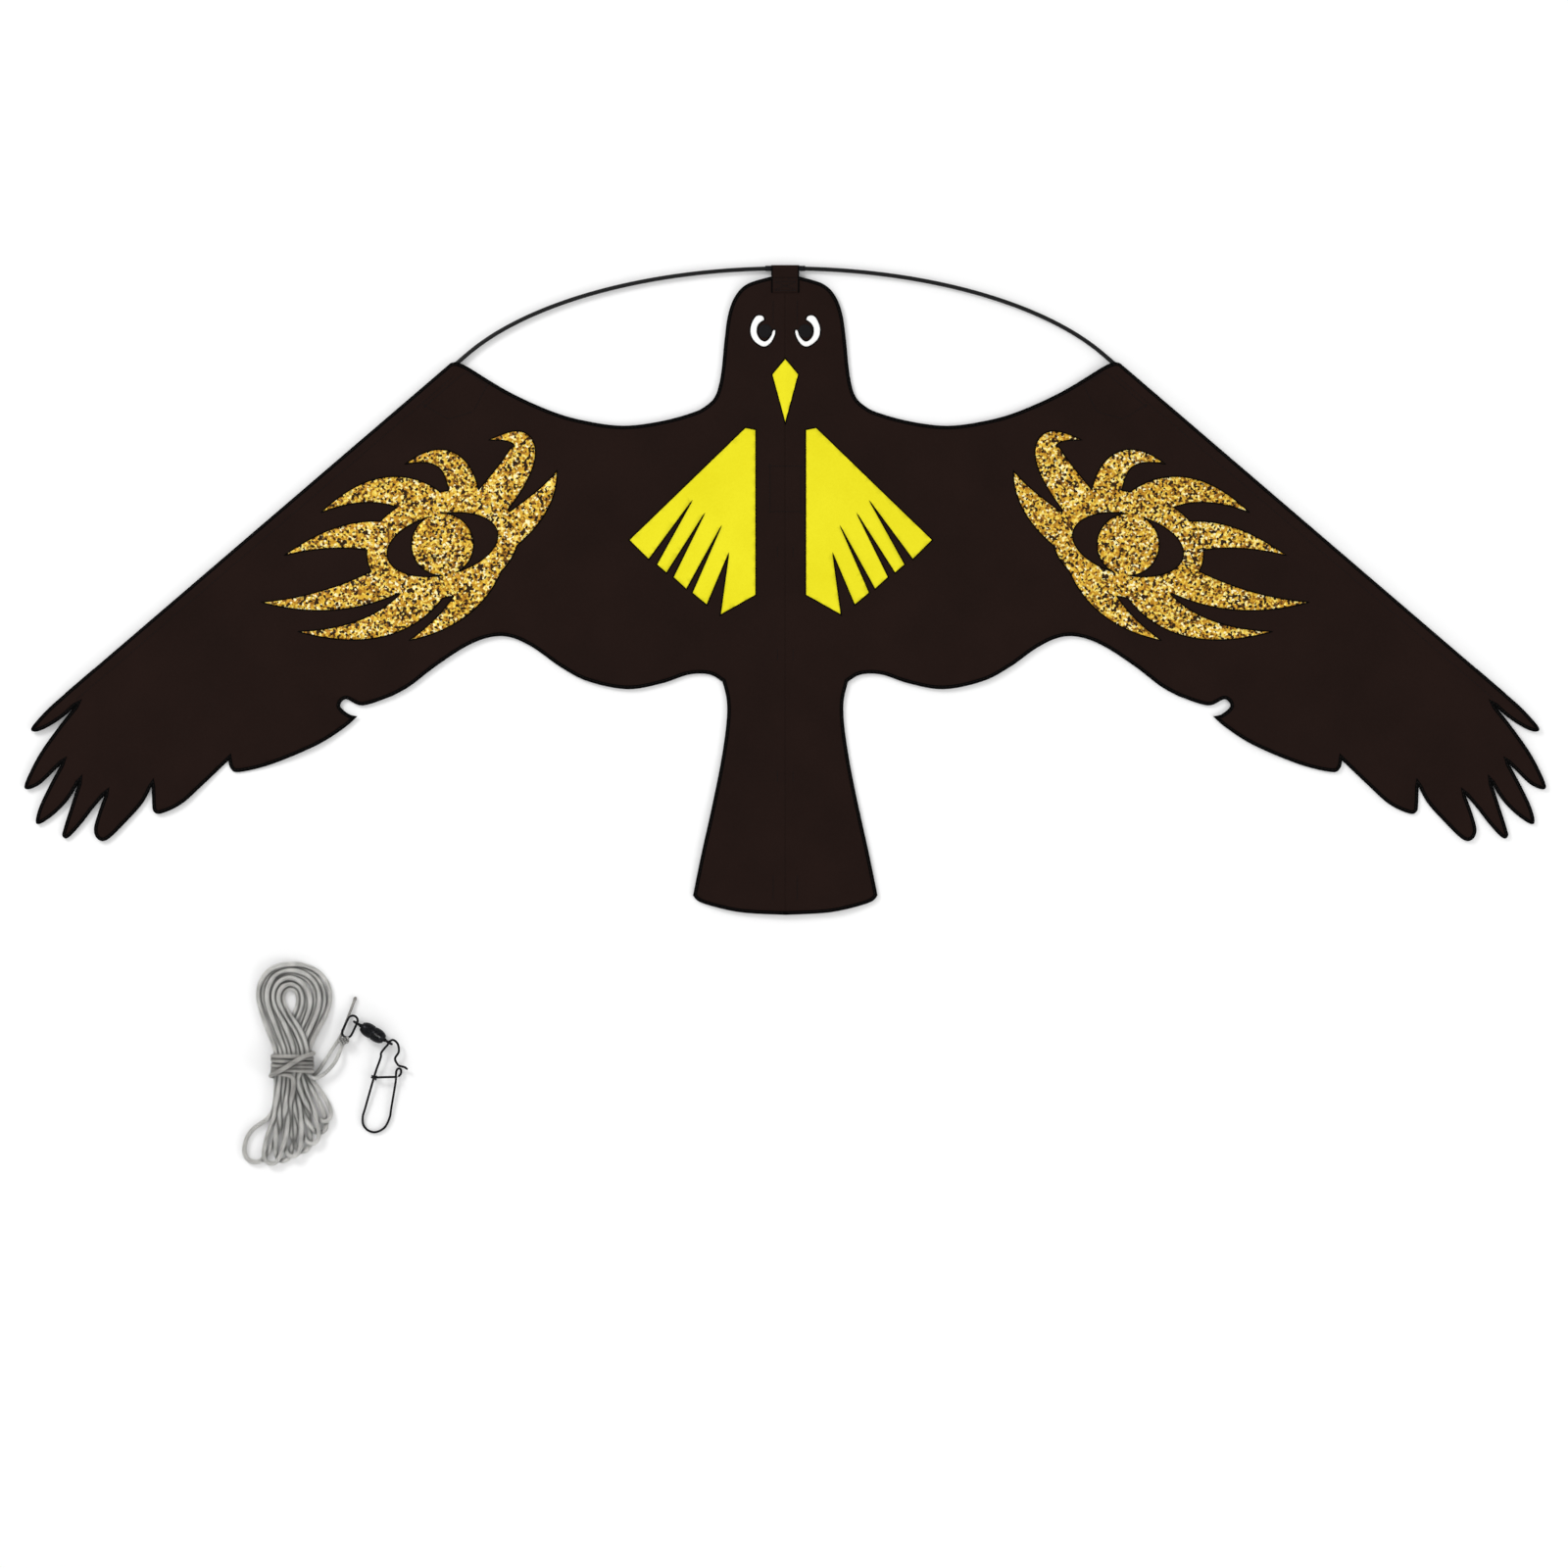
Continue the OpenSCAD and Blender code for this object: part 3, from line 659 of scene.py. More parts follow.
def sail_top(points):
    """Height of the sail's upper face: it lies on the rods and sinks towards the floor between."""
    points = np.asarray(points, float)
    x, y = points.T
    ax = np.abs(x)
    right = np.column_stack([ax, y])
    out, along = (right - BEND) @ EDGE_N, (right - BEND) @ OUT
    low = (2.7 + 0.65 * np.sin(x / 47 + 1.3) * np.cos(y / 58 - 0.4)
           + 0.5 * np.sin((x + 1.7 * y) / 83 + 0.6))
    spine = held_near(to_segment(right, *SPINE_ENDS) - ROD_TOP, 26)
    edge = held_near(to_segment(right, on_edge(SLEEVE_FROM), on_edge(STRAIGHT)) - ROD_TOP, 24)
    tow = held_near(np.maximum(ax - TOW_HALF[0], np.abs(y - TOW_Y) - TOW_HALF[1]), 18, 1.3)
    crown = held_near(np.maximum(ax - 13, 286 - y), 16, 1.3)
    z = low + (CREST - low) * (1 - (1 - spine) * (1 - edge) * (1 - tow) * (1 - crown))
    # loose feather ends and the trailing edge lift and fall a little
    loose = np.clip((-out - 90) / 90, 0, 1) * np.clip((ax - 330) / 200, 0, 1)
    z = z + loose * (0.9 * np.sin(ax / 17 + 0.4 * np.sign(x)) + 0.6 * np.sin(y / 21 + x / 90))
    tail = np.clip((-210 - y) / 100, 0, 1) * np.clip((ax - 20) / 50, 0, 1)
    z = z + tail * 0.8 * np.sin(x / 15 + y / 40)
    # beyond the rod the cloth turns down to its fold
    round_rod = ROD_Z + np.sqrt(np.maximum((CREST - ROD_Z) ** 2 - np.clip(out, 0, 2.6) ** 2, 0))
    round_rod = round_rod - np.maximum(out - 2.6, 0) * 1.1
    folded = (out > 0) & (along > SLEEVE_FROM - 10) & (along < POCKET_TO + 12)
    return np.where(folded, np.minimum(z, round_rod), np.maximum(z, 1.2))


def sail_under(points):
    return sail_top(points) - SAIL_T


def mirror(points, side):
    """An outline's points for that side, kept in counterclockwise order."""
    points = np.array(points, float)
    if side < 0:
        points = points[::-1].copy()
        points[:, 0] *= -1
    return points


SIDES = (("right", 1), ("left", -1))


def bend_with(obj):
    """Bakes the piece's place into its mesh."""
    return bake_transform(obj)


# ---------------- flying line

LINE_D = 4.5
TIE = np.array((-469.5, -452.0))
KNOT = np.array([-420.6, -429.4, 6.3])
LAPS = 8
LAP_ORDER = [0, 7, 1, 6, 2, 5, 3, 4]
LOW_ROW, HIGH_ROW = 6.3, 10.4
STEP = 3.0
# nearest that two strands may lie, and the highest that one may
CLEAR, CEILING = 0.97 * LINE_D, 14.5


def waist_slot(place, z):
    """Where a strand passes the tie; place runs from 0 on the left to 7 on the right."""
    return (TIE[0] - 15.0 + 4.3 * place, TIE[1], z)


# outermost and innermost lap of the upper bight, from the left side of the tie to the right
BIGHT_OUT = np.array([(-484, -440), (-491, -424), (-498, -405), (-502.6, -386), (-497.5, -368.5),
                      (-486, -358.5), (-471.4, -356.5), (-456.7, -358.6), (-443.6, -366),
                      (-434.8, -382), (-436.3, -401), (-446, -421), (-454.5, -440)])
BIGHT_IN = np.array([(-455.5, -440), (-459.5, -427), (-467.5, -413), (-477, -401), (-481, -391),
                     (-479.2, -382), (-471.8, -377.4), (-464.4, -382), (-462.6, -391),
                     (-465, -401), (-471.5, -413), (-478, -427), (-484, -440)])
# folds of the lower fan, from left to right: centre and half-width
FOLDS = [(-505, -534.5, 12.5), (-489.5, -539.5, 9), (-479, -537.5, 8.6), (-469.5, -533, 8.6),
         (-460.5, -528.5, 8.6), (-451.5, -521, 8.6), (-444.8, -510.5, 8.8), (-440.6, -499.5, 9)]


def hank_route():
    """The line from the knot through all laps of the hank to its tie, before it settles."""
    points = [KNOT, (-423.2, -436, 5.2), (-425.6, -444.5, 4.4), (-430, -452.5, 4.2),
              (-437, -460, 5.0), (-445.5, -466, 7.0), (-451.5, -467.2, 9.4), (-454.8, -462, 10.4)]
    last = len(BIGHT_OUT) - 1
    for lap in LAP_ORDER:
        points.append(waist_slot(LAPS - 1 - lap, HIGH_ROW))
        flat = BIGHT_IN + (BIGHT_OUT - BIGHT_IN) * lap / (LAPS - 1)
        free = 2.4 + 3.9 * (lap % 2)
        for k, (x, y) in enumerate(flat):
            x += 1.1 * math.sin(2.4 * lap + 0.5 * k)
            y += 0.8 * math.cos(1.7 * lap + 0.6 * k)
            near_left, near_right = max(0, 1 - k / 4), max(0, 1 - (last - k) / 4)
            z = free + (HIGH_ROW - free) * near_left + (LOW_ROW - free) * near_right
            points.append((x, y, z))
        points.append(waist_slot(lap, LOW_ROW))
        x, y, half = FOLDS[lap]
        down = np.array([x, y]) - TIE
        down /= np.linalg.norm(down)
        across = np.array([-down[1], down[0]])
        z = 2.4 + 4.0 * (lap % 2)
        for side, ahead in ((0.7, -40), (1, -14), (0.72, 0.72 * half), (0, half),
                            (-0.72, 0.72 * half), (-1, -14), (-0.7 if lap else 0.1, -40)):
            points.append((*((x, y) + across * half * side + down * ahead), z))
    points.append((-467.6, -478, 11.5))
    return points


ROUNDS = 70
# shares of each round: apart, back towards the route, down, and smoothing
PUSH, RETURN, SINK, SMOOTH = 0.45, 0.06, 0.06, 0.18


def settled(route):
    """Moves the strands apart over a set number of rounds, keeping their length, on the floor."""
    p = resampled(spline(route, 10), STEP)
    home = p.copy()
    n = len(p)
    order = np.arange(n)
    for _ in range(ROUNDS):
        push = np.zeros_like(p)
        count = np.zeros(n)
        for block in range(0, n, 400):
            rows = order[block:block + 400]
            d = p[rows][:, None] - p[None]
            gap = np.sqrt((d ** 2).sum(2)) + 1e-6
            near = (gap < CLEAR) & (np.abs(rows[:, None] - order[None]) > 4)
            d[..., 2] *= 1.6
            weight = np.where(near, (CLEAR - gap) / gap, 0)
            push[rows] += (d * weight[..., None]).sum(1)
            count[rows] += near.sum(1)
        p += PUSH * push / np.maximum(count, 1)[:, None]
        p[:, :2] += RETURN * (home[:, :2] - p[:, :2])
        p[:, 2] -= SINK
        waist = np.abs(p[:, 1] - TIE[1]) < 10.5
        p[waist, 2] = np.clip(p[waist, 2], LOW_ROW, HIGH_ROW + 0.3)
        p[:, 2] = np.clip(p[:, 2], LINE_D / 2, CEILING)
        for _ in range(2):
            step = np.diff(p, axis=0)
            length = np.linalg.norm(step, axis=1)[:, None]
            fix = 0.25 * step * (1 - STEP / np.maximum(length, 1e-6))
            p[:-1] += fix
            p[1:] -= fix
        p[1:-1] += SMOOTH * (0.5 * (p[:-2] + p[2:]) - p[1:-1])
    return p


TIE_LOW, TIE_HIGH, TIE_HALF = 2.35, 15.2, 19.8
TIE_TURNS, LAST_TURN = 5.56, 5


def tie_turns():
    """Turns round the waist of the hank, the last one slanting over the others. Whole numbers of
    turns are at the middle of the top, and the line runs left, under the hank and back."""
    radius = (TIE_HIGH - TIE_LOW) / 2
    flat, arc = TIE_HALF - radius, math.pi * radius
    round_trip = 4 * flat + 2 * arc
    points = []
    for u in np.arange(0, TIE_TURNS, STEP / round_trip):
        run = (u % 1) * round_trip
        high = TIE_HIGH
        if abs(u - LAST_TURN) < 0.38:
            high += 3.8 * math.cos((u - LAST_TURN) / 0.38 * math.pi / 2) ** 0.6
        middle, r = (high + TIE_LOW) / 2, (high - TIE_LOW) / 2
        if run < flat:
            x, z = -run, high
        elif run < flat + arc:
            a = (run - flat) / radius
            x, z = -flat - r * math.sin(a), middle + r * math.cos(a)
        elif run < 3 * flat + arc:
            x, z = run - 2 * flat - arc, TIE_LOW
        elif run < 3 * flat + 2 * arc:
            a = (run - 3 * flat - arc) / radius
            x, z = flat + r * math.sin(a), middle - r * math.cos(a)
        else:
            x, z = 4 * flat + 2 * arc - run, high
        y = -10.2 + 4.15 * u + 0.8 * math.sin(2 * math.pi * u * 1.31)
        t = min(max(u - LAST_TURN + 0.25, 0) / 0.55, 1)
        y += (-11.8 - y) * t * t * (3 - 2 * t)
        points.append((TIE[0] + x, TIE[1] + y, z))
    return np.array(points)


hank = settled(hank_route())
turns = tie_turns()
into_tie = [(-467.9, -471.5, 13.2), (-467.2, -465.4, 14.8)]
lead_back = [(-450.5, -463.6, 2.4), (-445.4, -459.4, 2.5), (-440.2, -451.5, 2.6),
             (-434.6, -442.6, 3.2), (-428.6, -433.6, 4.0), (-424.2, -426.4, 4.2),
             (-421, -418.2, 3.6), (-417, -407.6, 2.8), (-413.2, -397.6, 2.2), (-409.8, -388.4, 1.7)]
line_path = np.vstack([hank[:-1:2], into_tie, turns[::2], lead_back])
line_path = resampled(spline(line_path, 6), 2.2)
for _ in range(6):
    line_path[1:-1] += 0.25 * (line_path[:-2] + line_path[2:] - 2 * line_path[1:-1])
from_start = runs_along(line_path)
from_end = from_start[-1] - from_start
half_tie = runs_along(turns)[-1] / 2
mid_tie = runs_along(lead_back)[-1] + half_tie


def within(limit, fade, gap=from_end):
    """1 where the gap, from the line's end or as given, is less than a limit, fading to 0 there."""
    return np.clip((limit - gap) / fade, 0, 1)


# the leads are drawn tight, and the free tail is frayed thin up to its melted end
line_r = np.full(len(line_path), LINE_D / 2)
line_r *= 1 - 0.2 * within(52, 12, np.minimum(from_start, from_end - 44))
line_r *= 1 - 0.28 * within(48, 10)
line_r *= 1 + 0.35 * within(4.4, 1.6)
line_r[-1] *= 0.55
# 1 where the line is soiled: round the tie, on the tail, and most of all at its end
soil = np.max([0.7 * within(half_tie + 12, 14, np.abs(from_end - mid_tie)), 0.7 * within(46, 8),
               within(5, 2)], axis=0)


LINE_SIDES = 12


def painted_contact_shade(verts, path, width):
    """Painted shade: 0 in the open, up to 1 where a strand lies against another and is painted
    dark.
    """
    near = []
    for start in range(0, len(verts), 600):
        block = verts[start:start + 600]
        gap = np.linalg.norm(block[:, None] - path[None], axis=2)
        own = np.arange(start, start + len(block)) // LINE_SIDES
        gap[np.abs(own[:, None] - np.arange(len(path))[None]) < 5] = 99
        near.append(gap.min(axis=1))
    return np.clip((1.0 - np.concatenate(near) / width) / 0.45, 0, 1)


def line_object(name, path, radius, dirt, *nodes):
    """Tube of braided line, with what its braid needs: along, around, soil and the painted shade
    where strands touch.
    """
    verts, faces = tube_mesh(path, radius, LINE_SIDES)
    obj = piece(name, (verts, faces), LINE, "flying_line", *nodes)
    fold = 2 * np.abs(np.linspace(0, 1, LINE_SIDES, endpoint=False) - 0.5)
    dirt = np.broadcast_to(dirt, len(path))
    for key, values in (("along", np.repeat(runs_along(path) * MM, LINE_SIDES)),
                        ("around", np.tile(fold, len(path))),
                        ("soil", np.repeat(dirt, LINE_SIDES)),
                        ("contact_shade", painted_contact_shade(verts, path, 2 * np.max(radius)))):
        attribute = obj.data.attributes.new(key, "FLOAT", "POINT")
        attribute.data.foreach_set("value", values.astype(np.float32))
    return obj


def helix(centre, axis, across, up, steps, start, rise):
    """Points round an axis, 22 to a turn; across and up are the coil's two radii."""
    turn = np.arange(steps) / 22
    a = 2 * math.pi * turn
    return (np.add(centre, np.outer(start + rise * turn, axis)) + np.outer(np.cos(a), across)
            + np.outer(np.sin(a), up))


flying_line = line_object("flying_line_cord", line_path, line_r, soil, "line_hank", "line_tie",
                          "line_lead")
# the knot: three tight turns of the same line round the ring's lower end
knot_path = helix(KNOT + (0.3, -0.6, 0), (0.93, 0.36, 0), (-0.792, 2.046, 0), (0, 0, 2.6), 73, -4.1,
                  2.5)
knot = line_object("line_knot_turns", knot_path, 1.5, 0.15, "line_knot")

# ---------------- ring, swivel and snap

WIRE = 1.1


def turned(points, at, degrees):
    """Points turned about the upright axis, then moved."""
    a = math.radians(degrees)
    m = np.array([[math.cos(a), -math.sin(a), 0], [math.sin(a), math.cos(a), 0], [0, 0, 1]])
    return np.asarray(points, float) @ m.T + np.asarray(at, float)


LINK_HALF, LINK_LENGTH = 4.8, 17.2
half_turn = np.linspace(0, math.pi, 17)
oval = [(middle - way * LINK_HALF * math.sin(a), way * LINK_HALF * math.cos(a), 0)
        for middle, way in ((LINK_HALF, 1), (LINK_LENGTH, -1)) for a in half_turn]
oval = resampled(turned(oval, (-419.7, -426.4, KNOT[2]), 64.4), 0.8, closed=True)
link = piece("link_ring_wire", tube_mesh(oval, WIRE, 14, closed=True), METAL, "flying_line",
             "link_ring")

SWIVEL_AT, SWIVEL_TURN, SWIVEL_LENGTH = (-411.0, -411.6, 6.8), -31, 42.0
EYE_R, STEM_R = 3.3, 1.9


def swivel_eye(far):
    """Ring and stem of the swivel's near or far eye."""
    around = np.linspace(0, 2 * math.pi, 40, endpoint=False)
    ring = [(EYE_R - EYE_R * math.cos(a), 0, EYE_R * math.sin(a)) for a in around]
    stem = [(2 * EYE_R - 0.4 + 5.2 * t, 0, 0) for t in np.linspace(0, 1, 8)]
    parts = []
    for path, r in ((ring, [WIRE] * 40), (stem, [1.2, 1.7, *[STEM_R] * 5, STEM_R - 0.1])):
        closed = path is ring
        path = np.array(path)
        if far:
            path[:, 0] = SWIVEL_LENGTH - path[:, 0]
            path, r = path[::-1], r[::-1]
        parts.append(tube_mesh(turned(path, SWIVEL_AT, SWIVEL_TURN), r, 16, closed))
    return joined(parts)


line_eye = piece("swivel_line_eye_wire", swivel_eye(False), METAL, "line_eye", "swivel_line_eye")
snap_eye = piece("swivel_snap_eye_wire", swivel_eye(True), METAL, "snap_eye", "swivel_snap_eye")

BARREL_FROM, BARREL_LENGTH = 8.4, 25.2
BARREL = [(0, 3.2), (0.15, 3.8), (0.8, 4.4), (2.6, 5.6), (4.8, 6.4), (7.2, 6.75), (9.6, 6.75),
          (11.4, 6.6), (12.15, 6.25), (12.6, 6.0)]


def barrel_shape():
    """Turned body with a waist and a countersunk mouth round each stem."""
    profile = [(2.7, STEM_R + 0.15), (0.5, STEM_R + 0.15), (0, 2.6), *spline(BARREL, 4)]
    profile += [(BARREL_LENGTH - x, r) for x, r in profile[-2::-1]]
    turn = np.linspace(0, 2 * math.pi, 48, endpoint=False)
    verts, faces = swept([[(BARREL_FROM + x, r * math.cos(a), r * math.sin(a)) for a in turn]
                          for x, r in profile])
    return turned(verts, SWIVEL_AT, SWIVEL_TURN), [face[::-1] for face in faces]


def cut_through(obj, cutter):
    """Cuts one object's shape out of another and clears the slivers that this leaves."""
    tool = obj.modifiers.new("cut", "BOOLEAN")
    tool.object = cutter
    tool.operation = "DIFFERENCE"
    cut = obj.evaluated_get(bpy.context.evaluated_depsgraph_get())
    shape = bpy.data.meshes.new_from_object(cut)
    obj.modifiers.clear()
    clean = bmesh.new()
    clean.from_mesh(shape)
    bmesh.ops.remove_doubles(clean, verts=clean.verts, dist=2e-5)
    bmesh.ops.dissolve_degenerate(clean, edges=clean.edges, dist=1e-6)
    clean.to_mesh(shape)
    clean.free()
    obj.data = shape
    bpy.data.objects.remove(cutter)


def slot_cutter(start, end, half_width):
    """Upright rounded bar through the barrel, between two places on its axis."""
    a = np.linspace(-math.pi / 2, math.pi / 2, 9)
    loop = [(middle + way * half_width * math.cos(t), way * half_width * math.sin(t))
            for middle, way in ((end, 1), (start, -1)) for t in a]
    verts, faces = swept([[(BARREL_FROM + x, y, z) for x, y in loop] for z in (-9, 9)])
    return plain_object("cutter", (turned(verts, SWIVEL_AT, SWIVEL_TURN), faces), METAL)


barrel = piece("swivel_barrel_body", barrel_shape(), METAL, "barrel", "swivel_barrel")
cut_through(barrel, slot_cutter(15.2, 20.0, 1.45))

# from its curled tail through the end of the long leg, over the swivel's eye and round the bow
SNAP = [(-360.0, -457.6, 5.3), (-362.6, -455.4, 5.6), (-365.8, -454.5, 5.7), (-368.9, -453.3, 5.6),
        (-372.0, -447.2, 5.4), (-368.4, -440.5, 5.85),
        (-369.3, -433.2, 6.3), (-373.5, -429.3, 6.3), (-377.4, -430.9, 6.3), (-378.9, -433.8, 6.3),
        (-381.9, -437.2, 6.15), (-385.2, -441.8, 5.85), (-385.8, -446.5, 5.4),
        (-391.5, -462.8, 4.35), (-400.4, -493.4, 2.7), (-403.1, -502.9, 2.25),
        (-402.4, -510.8, 1.8), (-397.5, -516.1, 1.5), (-390.3, -517.4, 1.5),
        (-382.2, -512.9, 1.65), (-377.4, -503.5, 2.1), (-375.9, -494.9, 2.55),
        (-371.6, -469.4, 3.6), (-371.3, -463.6, 3.7), (-370.8, -458.8, 3.5), (-369.0, -456.6, 3.3),
        (-366.6, -457.8, 3.3), (-366.7, -461.6, 3.5), (-369.2, -464.6, 3.8)]


def blunt_wire(points, gap, end, shoulder):
    """Bent wire whose radius falls off at its two cut ends."""
    path = resampled(spline(points, 10), gap)
    radius = np.full(len(path), WIRE)
    radius[[0, -1]] = end * WIRE
    radius[[1, -2]] = shoulder * WIRE
    return tube_mesh(path, radius, 14)


snap = piece("snap_wire_bent", blunt_wire(SNAP, 0.9, 0.55, 0.9), METAL, "snap", "snap_wire")

GATE_AT, GATE_TURN, GATE_TILT = (-392.1, -465.0, 4.2), 73, 2.9
BAR_Z = 2.8
bar = np.array([(-2.6, 0.2, BAR_Z - 0.6), (0.8, 0, BAR_Z), (12, 0.4, BAR_Z + 0.15),
                (20, 0.5, BAR_Z + 0.25), (22.6, 0.5, BAR_Z)]) + GATE_AT
gate_axis = turned([(math.cos(math.radians(GATE_TILT)), 0, math.sin(math.radians(GATE_TILT)))],
                   (0, 0, 0), GATE_TURN)[0]
COLLAR_R = WIRE + 1.05
across = np.cross(gate_axis, (0, 0, 1))
across *= COLLAR_R / np.linalg.norm(across)
coil = helix(GATE_AT, gate_axis, across, np.cross(gate_axis, across), 45, -1.6, 1.6)
gate = piece("snap_gate_bar", joined([blunt_wire(bar, 0.8, 0.45, 0.85), tube_mesh(coil, 0.9)]),
             METAL, "gate", "snap_gate")

# ---------------- sail

outline = sail_outline()


def edge_rows():
    """Extra points along the rods, so that the cloth can turn round them."""
    rows = [on_edge(a, u) for a in np.arange(SLEEVE_FROM + 1, POCKET_TO + 4, 6.0)
            for u in (-6.5, -4, -2, 0, 1.2, 2.1, 2.8)]
    rows += [(x, y) for y in np.arange(-304, 292, 6.0) for x in (2.0, 4.5, 9.0)]
    return np.array(rows)


flat_half, tris_half, rims_half = triangulated([outline], 6.5, extra=edge_rows())
sails, hems = {}, {}
for name, side in SIDES:
    flat = flat_half * (side, 1)
    tris = tris_half[:, ::side]
    rims = [rim[::side] for rim in rims_half]
    cloth = sheet_mesh(flat, tris, rims, sail_top(flat), sail_under(flat))
    sails[name] = bend_with(piece(f"sail_cloth_{name}", cloth, CLOTH))
    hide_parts(f"sail_{name}", "sail_centre")

HEM_PROFILE = [(-0.45, -0.2), (-0.3, 0.22), (0.4, 0.5), (2.5, 0.46), (3.0, 0.06), (3.0, -0.42),
               (2.5, -0.84), (0.4, -0.88), (-0.3, -0.6)]
HEM_WIDTH = 3.0
STITCH_IN = 1.7


def strip(line, out, room, profile, closed):
    """A strip along a line on the sail, from a closed profile of (distance inwards, height)."""
    rings = []
    for u, z in profile:
        reach = np.minimum(u, np.broadcast_to(room, len(line)))[:, None]
        at = line + out * reach
        over = at if closed else line + out * np.maximum(reach, 0)
        rings.append(np.column_stack([at, sail_top(over) + z]))
    return swept(np.stack(rings, axis=1), closed, flip=True)


# the right half's edge from the tail's middle round to the crown, its inward directions, and the
# room for a hem
edge_line = outline[np.argmin(np.hypot(outline[:, 0], outline[:, 1] - TAIL_Y)):]
whole = np.vstack([edge_line, (edge_line * (-1, 1))[::-1][1:-1]])
edge_in = inward(whole)[:len(edge_line)]
edge_room = room_inside(whole, HEM_WIDTH)[:len(edge_line)]
# runs of the seam inside the hem, wherever the hem is wide enough for it
seams, run = [], []
for p, d, r in zip(edge_line, edge_in, edge_room):
    if r > STITCH_IN + 0.4:
        run.append(p + d * STITCH_IN)
    else:
        seams.append(run)
        run = []
seams = [np.array(run) for run in [*seams, run] if len(run) > 3]

for name, side in SIDES:
    verts, faces = strip(edge_line, edge_in, edge_room, HEM_PROFILE, closed=False)
    verts[:, 2] -= sail_top(verts[:, :2])
    verts, faces = mirrored((verts, faces), side)
    verts[:, 2] += sail_top(verts[:, :2])
    rows = [row for run in seams for row in sewn_through(run * (side, 1), 0.56, 0.6)]
    rod_seam = [on_edge(a, -7.6) * (side, 1) for a in (SLEEVE_FROM + 3, POCKET_TO)]
    rows += sewn_through(rod_seam, 0.1, 0.58)
    hems[name] = [bend_with(piece(f"hem_{name}", (verts, faces), HEM)),
                  bend_with(piece(f"seams_{name}", joined(rows), THREAD))]

# ---------------- decoration

CHEST = [(23.8, 152.5), (33.8, 154.5), (144.6, 47.5), (126, 29), (84.5, 85), (118.3, 24), (109, 16),
         (72.5, 73), (102.5, 12), (90, 0.5), (56.5, 61), (84.5, -3), (70.5, -14.5), (49.5, 35),
         (57.5, -24), (23.8, -5)]
BEAK = [(0, 220.2), (-12.6, 205.3), (0, 158.6), (12.6, 205.3)]
CRESCENT = [(20, 257), (20.7, 260.4), (24.4, 261.9), (28.6, 260.4), (32.1, 254.5), (33.6, 248),
            (32.4, 241), (28, 235.3), (20.7, 231.4), (14.6, 234.1), (10.5, 240.5), (9.1, 246.4),
            (10.7, 247.9), (12.3, 246.4), (14, 241.6), (18.9, 237), (23.9, 239.2), (26.8, 244.8),
            (26.3, 251), (22.9, 255.3)]
PUPIL_AT, PUPIL_R = (19.2, 246.5), 6.6
FLAME_AT, FLAME_TILT = np.array((327.0, 43.0)), math.radians(-13)
BALL_R = 29.5
TONGUES = [((268, 52), (228, 82), (218, 113), 15), ((290, 72), (214, 160), (282, 143), 17),
           ((306, 90), (314, 142), (362, 120), 14), ((340, 80), (382, 112), (442, 74), 17),
           ((376, 48), (418, 60), (477, 33), 15), ((372, 12), (430, -18), (499, -12), 15),
           ((338, 6), (374, -50), (464, -40), 17), ((284, 26), (302, -24), (358, -48), 15)]


def ellipse(centre, a, b, tilt, count):
    """Points round an ellipse."""
    t = np.linspace(0, 2 * math.pi, count, endpoint=False)
    u, v = a * np.cos(t), b * np.sin(t)
    return np.column_stack([u * math.cos(tilt) - v * math.sin(tilt),
                            u * math.sin(tilt) + v * math.cos(tilt)]) + centre


TONGUE_STEPS = 26


def tongue(root, bend, tip, half):
    """Outline of one flame, which narrows from its root along a curve to its tip."""
    root, bend, tip = (np.array(p, float) for p in (root, bend, tip))
    left, right = [], []
    for i in range(TONGUE_STEPS):
        t = i / TONGUE_STEPS
        at = (1 - t) ** 2 * root + 2 * t * (1 - t) * bend + t ** 2 * tip
        d = (1 - t) * (bend - root) + t * (tip - bend)
        d /= np.linalg.norm(d)
        offset = half * (1 - t ** 1.7) * np.array([-d[1], d[0]])
        left.append(at + offset)
        right.append(at - offset)
    return np.array([*left, tip, *right[::-1]])


def flame_parts():
    """Outlines of the flames and the ball, and what belongs to them."""
    body = ellipse(FLAME_AT, 73, 50, FLAME_TILT, 90)
    opening = ellipse(FLAME_AT, 54, 29, FLAME_TILT, 80)
    ball = ellipse(FLAME_AT, BALL_R, BALL_R, 0, 60)
    tongues = [tongue(*t) for t in TONGUES]

    def keep(p):
        flames = np.any([inside(p, loop) for loop in (body, *tongues)], axis=0)
        return flames & ~inside(p, opening) | inside(p, ball)

    return [body, opening, ball, *tongues], keep


BORDER = [(-0.75, 0.0), (-0.6, 0.42), (-0.1, 0.62), (0.3, 0.5), (0.45, 0.0)]
BORDER_WIDTH = 0.45


def decal(name, loops, material, spacing, body=None, keep=None, border=True):
    """Cloth shapes sewn on the sail, with a dark bead of thread along their edge. It stands for
    the CAD node of its name."""
    flat, tris, rims = triangulated([filled_in(l, 3.0) for l in loops], spacing, keep)
    cloth = sheet_mesh(flat, tris, rims, sail_top(flat) + 0.28, sail_top(flat) + 0.02)
    parts = [piece(f"{name}_patch", cloth, material, body, name)]
    if border:
        beads = [strip(loop, inward(loop), BORDER_WIDTH, BORDER, closed=True)
                 for loop in (flat[rim] for rim in rims if len(rim) > 3)]
        parts.append(piece(f"{name}_border", joined(beads), HEM, body))
    return parts


